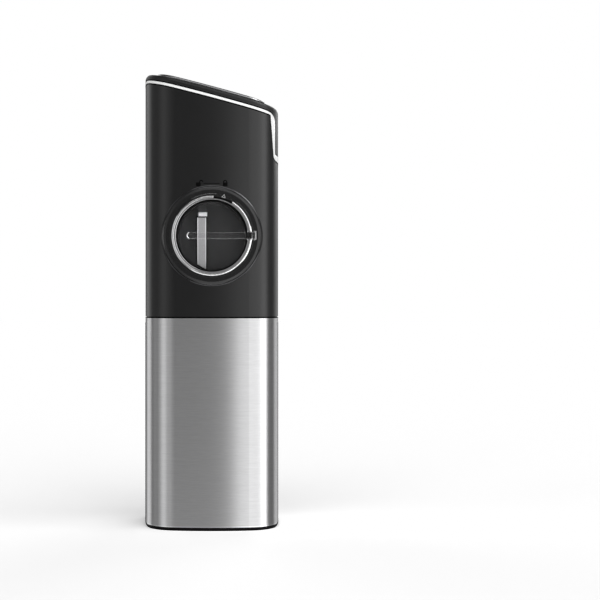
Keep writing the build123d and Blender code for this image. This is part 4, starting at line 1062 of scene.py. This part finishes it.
@dataclass
class DialLid(Assembly):
    """Fine lines of the dial, some of them painted shade and highlight, its clear grip with two bright
    chrome ends that are painted highlights, and its pointer.

    A rise is how far a piece stands off the face of the bezel or collar, and sunk how far it lies
    in what carries it.
    """

    dial: Vector
    face: float
    lift: float = 0.00004
    back_slack: float = 0.00001
    index_from: float = 2.2
    index_to: float = 31.8
    index_radii: tuple[float, float] = (0.01775, 0.01872)
    index_thickness: float = 0.0004
    index_rise: float = 0.00004
    edge_from: float = -60.0
    edge_to: float = 76.0
    edge_radii: tuple[float, float] = (0.01904, 0.01944)
    edge_thickness: float = 0.0006
    edge_rise: float = 0.00005
    ridge_radius: float = 0.01845
    ridge_width: float = 0.0006
    ridge_thickness: float = 0.0005
    ridge_rise: float = 0.00014
    seat_radii: tuple[float, float] = (0.0167, 0.0173)
    seat_gap: float = 7.5
    seat_thickness: float = 0.0006
    seat_rise: float = 0.00004
    highlight_arc_span: tuple[float, float] = (-29.0, 6.0)
    highlight_arc_radii: tuple[float, float] = (0.01975, 0.0201)
    highlight_arc_thickness: float = 0.0004
    highlight_arc_rise: float = 0.0001
    band_edge: float = 0.25
    band_steps: int = 12
    notch_margin: float = 0.0003
    notch_sunk: float = 0.00009
    notch_thickness: float = 0.00022
    notch_rim: float = 0.0002
    notch_edge: float = 0.00003
    pointer_angle: float = 17.0
    pointer_radius: float = 0.01955
    pointer_size: float = 0.00115
    pointer_stroke: float = 0.17
    pointer_thickness: float = 0.00012
    pointer_rise: float = 0.0001
    crescent_radius: float = 0.0015
    crescent_wire: float = 0.00034
    crescent_share: float = 0.72
    crescent_steps: tuple[int, int] = (48, 12)
    ends_sunk: float = 0.000204
    bracket_wire: float = 0.000578
    bracket_share: float = 0.92
    bracket_inset: float = 1.2
    bracket_lip: float = 1.6
    bracket_edge: tuple[float, int] = (0.00012, 3)
    bead_radius: float = 0.02365
    bead_wire: float = 0.0007
    bead_sunk: float = 0.00038
    bead_start: float = 0.002
    bead_steps: tuple[int, int] = (160, 3)
    lip_radius: float = 0.01988
    lip_wire: float = 0.0002
    lip_sunk: float = 0.00004
    lip_steps: tuple[int, int] = (128, 12)

    def bands(self) -> tuple[Band, ...]:
        """All flat arcs of the dial.

        Returns:
            The index arc, the painted shade on the bezel's outer edge, its bright ridge, the window's dark
            seat, which is open where the grip crosses it, and a bright chrome arc on the collar as a
            painted highlight.
        """
        index = (self.index_from, self.index_to)
        left = (self.edge_from, self.index_from)
        right = (self.index_to, self.edge_to)
        beside = (self.index_radii[1], self.edge_radii[1])
        ridge = (self.ridge_radius - self.ridge_width / 2, self.ridge_radius + self.ridge_width / 2)
        short = (self.index_to, 90 - self.seat_gap)
        long = (90 + self.seat_gap, 360 + self.index_from)
        all_round = (90 + self.seat_gap, 90 + 360 - self.seat_gap)
        in_index = (self.face - self.index_rise, self.index_thickness, "mark_ink")
        # painted shade: dark bands over the bezel's outer edge, from -60 to 76 degrees
        in_edge_shade = (self.face - self.edge_rise, self.edge_thickness, "collar_black")
        in_ridge = (self.face - self.ridge_rise, self.ridge_thickness, "ridge_chrome")
        in_seat = (self.face - self.seat_rise, self.seat_thickness, "mark_ink")
        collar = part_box("dial_collar")[0][1]
        # painted highlight: a bright chrome arc on the collar, where the edge between bezel and collar
        # shows a highlight
        in_highlight_arc = (collar - self.highlight_arc_rise, self.highlight_arc_thickness, "bright_chrome", "housing")
        return (
            Band("index_arc", index, self.index_radii, *in_index),
            Band("edge_shade_left", left, self.edge_radii, *in_edge_shade),
            Band("edge_shade_index", index, beside, *in_edge_shade),
            Band("edge_shade_right", right, self.edge_radii, *in_edge_shade),
            Band("ridge_short", short, ridge, *in_ridge),
            Band("ridge_long", long, ridge, *in_ridge),
            Band("window_seat", all_round, self.seat_radii, *in_seat),
            Band("highlight_arc", self.highlight_arc_span, self.highlight_arc_radii, *in_highlight_arc),
        )

    def arc(self, band: Band) -> Piece:
        """Model one flat arc.

        Args:
            band: its sizes and finish.

        Returns:
            The arc.
        """
        inner, outer = band.radii
        start, end = band.span
        sweep = end - start
        start_clean()
        bpy.ops.mesh.primitive_plane_add(
            size=1.0,
            location=around(self.dial, start, (inner + outer) / 2, band.front + band.thickness / 2),
            rotation=(0, math.radians(start - 90), 0),
        )
        piece = bpy.context.object
        piece.scale = (outer - inner, band.thickness, 1.0)
        place_in_mesh()
        open_up(piece)
        # spin turns against the given axis when there is no window
        bpy.ops.mesh.spin(
            steps=max(self.band_steps, round(sweep)),
            angle=-math.radians(sweep),
            center=self.dial,
            axis=(0, 1, 0),
        )
        close_seams(piece)
        bevel(piece, min(outer - inner, band.thickness) * self.band_edge)
        self.settle(piece, band.name, band.finish, band.body)
        return piece

    def grip(self) -> None:
        """Clear grip bar, lifted off the window by a hair."""
        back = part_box("grip_bar")[1][1]
        piece = self.copy_of("grip_bar")
        open_up(piece)
        bpy.ops.mesh.select_all(action="DESELECT")
        close_up()
        for vertex in piece.data.vertices:
            vertex.select = vertex.co.y > back - self.back_slack
        bpy.ops.object.mode_set(mode="EDIT")
        bpy.ops.transform.translate(value=(0, -self.lift, 0))
        close_up()
        self.settle(piece, "grip_clear", "clear_plastic", "lid")
        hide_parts("grip_bar")

    def ends(self) -> None:
        """Bright chrome crescent at the left end of the grip and bracket at its right end, as painted
        highlights of the grip's two ends.
        """
        low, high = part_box("grip_bar")
        front = low[1] + self.ends_sunk
        middle = self.dial.z
        radius = self.crescent_radius
        crescent = ring(
            (low[0] + radius, front, middle), radius, self.crescent_wire, self.crescent_steps
        )
        kept = low[0] + radius * self.crescent_share
        cut_away(crescent, (kept, front, middle), (1, 0, 0))
        smooth(ANGLE_OF_CUT)
        self.settle(crescent, "grip_crescent_highlight", "bright_chrome", "lid")
        height = (high[2] - low[2]) * self.bracket_share
        wire = self.bracket_wire
        parts = [block((high[0] - wire / 2, front, middle), (wire, wire, height))]
        for side in (-1, 1):
            place = (high[0] - wire * self.bracket_inset, front, middle + side * (height - wire) / 2)
            parts.append(block(place, (wire * self.bracket_lip, wire, wire)))
        bracket = join(parts)
        bevel(bracket, *self.bracket_edge)
        self.settle(bracket, "grip_bracket_highlight", "bright_chrome", "lid")

    def notch(self) -> None:
        """Dark bed under the grip where it crosses the bezel."""
        low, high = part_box("grip_bar")
        left = self.dial.x + self.seat_radii[0]
        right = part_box("dial_bezel")[1][0] - self.notch_margin
        bed = block(
            ((left + right) / 2, high[1] + self.notch_sunk, self.dial.z),
            (right - left, self.notch_thickness, high[2] - low[2] + self.notch_rim),
        )
        bevel(bed, self.notch_edge, 1)
        self.settle(bed, "notch_bed", "mark_ink", "lid")

    def bead(self) -> None:
        """Fine bead of dark glossy metal around the foot of the collar, lying on the housing."""
        start_clean()
        bpy.ops.mesh.primitive_circle_add(
            vertices=self.bead_steps[0],
            radius=self.bead_radius,
            fill_type="NOTHING",
            location=(self.dial.x, self.face - self.bead_start, self.dial.z),
            rotation=FACING_FRONT,
        )
        work_in(
            place_in_mesh(),
            "SHRINKWRAP",
            target=self.nodes["upper_housing"],
            wrap_method="PROJECT",
            use_project_y=True,
            use_negative_direction=False,
            use_positive_direction=True,
            offset=-self.bead_sunk,
        )
        bpy.ops.object.convert(target="CURVE")
        wire = bpy.context.object
        wire.data.bevel_depth = self.bead_wire
        wire.data.bevel_resolution = self.bead_steps[1]
        bpy.ops.object.convert(target="MESH")
        piece = bpy.context.object
        close_seams(piece)
        smooth(ANGLE_OF_ROUND)
        self.settle(piece, "collar_bead", "bead_black")

    def lip(self) -> None:
        """Glossy lip of the collar around the bezel."""
        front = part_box("dial_collar")[0][1] + self.lip_sunk
        piece = ring((self.dial.x, front, self.dial.z), self.lip_radius, self.lip_wire, self.lip_steps)
        smooth(ANGLE_OF_ROUND)
        self.settle(piece, "collar_lip", "gloss_black")

    def pointer(self) -> None:
        """Small light triangle that shows where the lid is turned to."""
        start_clean()
        bpy.ops.mesh.primitive_circle_add(
            vertices=3,
            radius=self.pointer_size,
            fill_type="NGON",
            location=around(
                self.dial, self.pointer_angle, self.pointer_radius, self.face - self.pointer_rise
            ),
            rotation=(math.radians(90), math.radians(self.pointer_angle), 0),
        )
        piece = place_in_mesh()
        open_up(piece)
        bpy.ops.mesh.inset(thickness=self.pointer_size * self.pointer_stroke)
        bpy.ops.mesh.delete(type="ONLY_FACE")
        close_up()
        work_in(piece, "SOLIDIFY", thickness=self.pointer_thickness, offset=0.0)
        self.settle(piece, "pointer", "pointer_grey", "lid")

    def build(self) -> None:
        """Make all pieces of the dial."""
        self.grip()
        self.ends()
        for band in self.bands():
            piece = self.arc(band)
            if band.name == "index_arc":
                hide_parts("index_inlay")
        self.notch()
        self.bead()
        self.pointer()
        self.lip()


# --- foil knife
@dataclass
class FoilKnife(Assembly):
    """Blade of the foil knife with painted highlights along its edges and painted shade around it, and its
    ferrule.
    """

    bed_margin: float = 0.0004
    blade_edge: tuple[float, int] = (0.0003, 3)
    ferrule_edge: tuple[float, int] = (0.00035, 4)
    highlight_width: float = 0.00042
    highlight_thickness: float = 0.0003
    highlight_rise: float = 0.00005
    highlight_edge: float = 0.00008
    tip_height: float = 0.0024
    gap_height: float = 0.0005
    gap_thickness: float = 0.0006
    gap_rise: float = 0.0002
    gap_margin: float = 0.0003
    gap_edge: float = 0.00006

    def bed(self) -> None:
        """Dark copy of the blade, a little larger and behind it, that shows as a line around it: painted
        shade.
        """
        low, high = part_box("knife_blade")
        wide, deep, tall = (high[i] - low[i] for i in range(3))
        share = (1 + 2 * self.bed_margin / wide, 1.0, 1 + 2 * self.bed_margin / tall)
        piece = self.copy_of("knife_blade")
        reshape(piece, share, middle_of((low, high)), (0, deep / 2, 0))
        self.settle(piece, "knife_shade_line", "mark_ink")

    def rounded(self, node: str, name: str, finish: str, edge: tuple[float, int]) -> Piece:
        """Copy of a rigid piece with rounded edges.

        Args:
            node: the rigid piece's name.
            name: name of the copy.
            finish: key of its finish.
            edge: width and steps of the rounding.

        Returns:
            The copy.
        """
        piece = self.copy_of(node)
        bevel(piece, *edge)
        self.settle(piece, name, finish)
        return piece

    def edge_highlights(self) -> None:
        """Light strips along the blade's edges as painted highlights, and a dark strip under its ferrule as
        painted shade.
        """
        low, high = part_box("knife_blade")
        half = self.highlight_width / 2
        sides = (
            ("blade_highlight_left", low[0] + half, low[2] + self.tip_height),
            ("blade_highlight_right", high[0] - half, low[2] + self.highlight_width),
        )
        for name, x, foot in sides:
            highlight_strip = block(
                (x, low[1] - self.highlight_rise, (foot + high[2]) / 2),
                (self.highlight_width, self.highlight_thickness, high[2] - foot),
            )
            bevel(highlight_strip, self.highlight_edge)
            self.settle(highlight_strip, name, "highlight_tin")
        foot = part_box("knife_ferrule")[0][2]
        # painted shade: dark strip under the ferrule, in front of the blade
        gap = block(
            ((low[0] + high[0]) / 2, low[1] - self.gap_rise, foot - self.gap_height / 2),
            (high[0] - low[0] + self.gap_margin, self.gap_thickness, self.gap_height),
        )
        bevel(gap, self.gap_edge)
        self.settle(gap, "ferrule_gap_shade", "mark_ink")

    def build(self) -> None:
        """Make all pieces of the knife."""
        self.bed()
        blade = self.rounded("knife_blade", "blade_edged", "blade_steel", self.blade_edge)
        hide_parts("knife_blade")
        self.edge_highlights()
        ferrule = self.rounded("knife_ferrule", "ferrule_round", "ferrule_tin", self.ferrule_edge)
        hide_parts("knife_ferrule")


# --- base screws
@dataclass
class BaseScrews(Assembly):
    """Screws of the base, with a cross recess in each head."""

    head_radius: float = 0.0024
    arm: float = 0.0028
    slot: float = 0.00055
    depth: float = 0.0009
    second_share: float = 0.98

    def build(self) -> None:
        """Cut the recesses into a copy of the screws."""
        low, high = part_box("base_screws")
        piece = self.copy_of("base_screws")
        arms = []
        for x in (low[0] + self.head_radius, high[0] - self.head_radius):
            for y in (low[1] + self.head_radius, high[1] - self.head_radius):
                arms.append(block((x, y, low[2]), (self.arm, self.slot, 2 * self.depth)))
                second = 2 * self.depth * self.second_share
                arms.append(block((x, y, low[2]), (self.slot, self.arm, second)))
        cutter = join(arms)
        work_in(piece, "BOOLEAN", operation="DIFFERENCE", solver="EXACT", use_self=True, object=cutter)
        bpy.data.objects.remove(cutter, do_unlink=True)
        self.settle(piece, "base_screws_cut", "zinc_screw")
        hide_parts("base_screws")


# --- studio
@dataclass(frozen=True)
class SoftBox:
    """Soft box that faces the opener.

    The azimuth is in degrees to the right of the camera, seen from the opener. The glow is the
    brightness of its face, where 1 is white, and the target the height that it faces.
    """

    name: str
    azimuth: float
    size: tuple[float, float]
    glow: float
    distance: float = 1.5
    height: float = 0.2
    target: float = 0.2
    glossy: bool = True
    diffuse: bool = True

    def hang(self) -> None:
        """Hang the light at its place."""
        light = bpy.data.lights.new(self.name, "AREA")
        light.shape = "RECTANGLE"
        light.size, light.size_y = self.size
        light.energy = self.glow * math.pi * self.size[0] * self.size[1]
        holder = bpy.data.objects.new(self.name, light)
        turn = math.radians(self.azimuth)
        holder.location = (self.distance * math.sin(turn), -self.distance * math.cos(turn), self.height)
        aim = Vector((0, 0, self.target)) - holder.location
        holder.rotation_euler = aim.to_track_quat("-Z", "Y").to_euler()
        holder.visible_camera = False
        holder.visible_glossy = self.glossy
        holder.visible_diffuse = self.diffuse
        bpy.context.scene.collection.objects.link(holder)
        LOG.info("hung %s", self.name)


SOFT_BOXES = (
    SoftBox("softbox_front", 37.0, (1.38, 2.4), 1.17),
    SoftBox("softbox_side", 74.0, (0.62, 2.4), 2.08),
    SoftBox("softbox_middle", 0.0, (1.4, 2.4), 0.035, 2.0),
    SoftBox("softbox_left", -58.0, (0.48, 2.4), 0.46),
    SoftBox("softbox_wide", -54.0, (1.7, 2.4), 0.36, 1.8),
    SoftBox("fill_left", -94.0, (0.55, 2.4), 0.18),
    SoftBox("rim_left", -136.0, (1.0, 2.4), 0.70),
    SoftBox("rim_right", 147.0, (1.0, 2.4), 0.45),
    SoftBox("softbox_top", 0.0, (1.5, 0.9), 1.6, 0.8, 1.5, 0.11),
    SoftBox("bounce_low", 0.0, (1.5, 0.9), 1.3, 0.8, -0.95, 0.11, diffuse=False),
    SoftBox("kicker", 80.0, (0.7, 0.7), 8.0, 1.1, 1.15, 0.15, diffuse=False),
    SoftBox("fill_front", -5.0, (1.6, 1.4), 1.2, 1.6, 0.9, 0.11, glossy=False),
    SoftBox("sweep_right", 154.0, (0.9, 0.7), 2.2, 1.6, 0.75, 0.11),
    SoftBox("sweep_left", -158.0, (1.0, 0.8), 0.8, 1.6, 1.0, 0.11),
)


@dataclass
class Studio:
    """White sweep, pale floor, soft boxes and the camera."""

    eye: Point = (0.0, -0.78, 0.1105)
    lens: float = 93.7
    shift: float = 0.1470
    room: float = 0.15
    floor_size: float = 14.0
    floor_tones: tuple[Colour, Colour] = ((0.90, 0.90, 0.90), (0.92, 0.92, 0.92))
    floor_cloud: float = 1.5
    floor_roughness: float = 0.9

    def surroundings(self) -> None:
        """White sweep behind the opener, in a dim room."""
        world = bpy.data.worlds.new("studio")
        world.use_nodes = True
        tree = world.node_tree
        white = {"Color": (1.0, 1.0, 1.0, 1.0)}
        room = node_of(tree, "BACKGROUND")
        feed(tree, room, {**white, "Strength": self.room})
        sweep = new_node(tree, "Background", white)
        seen = new_node(tree, "LightPath").outputs["Is Camera Ray"]
        faces = (room.outputs["Background"], sweep.outputs["Background"])
        show_either(tree, seen, *faces, output="OUTPUT_WORLD")
        bpy.context.scene.world = world

    def floor(self) -> None:
        """Pale floor that runs into the white sweep, and is clear from below."""
        start_clean()
        bpy.ops.mesh.primitive_plane_add(size=self.floor_size, location=ORIGIN)
        ground = bpy.context.object
        ground.name = "floor"
        mixture = Mixture("pale_floor")
        cloud = mixture.noise(mixture.place(), self.floor_cloud, 2.0)
        mixture.paint(cloud, SOFT_STOPS, self.floor_tones)
        mixture.fix({"Roughness": self.floor_roughness})
        tree = mixture.tree
        below = new_node(tree, "NewGeometry").outputs["Backfacing"]
        through = new_node(tree, "BsdfTransparent")
        show_either(tree, below, mixture.shader.outputs["BSDF"], through.outputs["BSDF"])
        ground.data.materials.append(mixture.material)
        ground.is_shadow_catcher = True
        ground.visible_glossy = False
        ground.visible_shadow = False

    def camera(self) -> None:
        """Camera in front of the opener."""
        eye = bpy.data.cameras.new("eye")
        eye.lens = self.lens
        eye.shift_x = self.shift
        holder = bpy.data.objects.new("eye", eye)
        holder.location = self.eye
        holder.rotation_euler = FACING_FRONT
        bpy.context.scene.collection.objects.link(holder)
        bpy.context.scene.camera = holder
        bpy.context.scene.view_settings.view_transform = "Standard"

    def build(self) -> None:
        """Set up the whole studio."""
        self.surroundings()
        self.floor()
        for box in SOFT_BOXES:
            box.hang()
        self.camera()
        LOG.info("studio ready")


def main() -> None:
    """Load the model, dress it, add the fine pieces and set up the studio."""
    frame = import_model()
    sleeve_low, sleeve_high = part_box("lower_sleeve")
    wardrobe = Wardrobe(sleeve_low[2], sleeve_high[2])
    wardrobe.dress(frame)
    over = (frame["nodes"], wardrobe)
    dial = middle_of(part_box("dial_bezel"))
    LockMarks(*over, dial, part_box("upper_housing")[0][1] + PRINT_SUNK).build()
    TrimLine(*over).build()
    DialLid(*over, dial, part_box("dial_bezel")[0][1]).build()
    FoilKnife(*over).build()
    BaseScrews(*over).build()
    Studio().build()


if __name__ == "__main__":
    logging.basicConfig(level=logging.INFO, format="%(message)s")
    main()
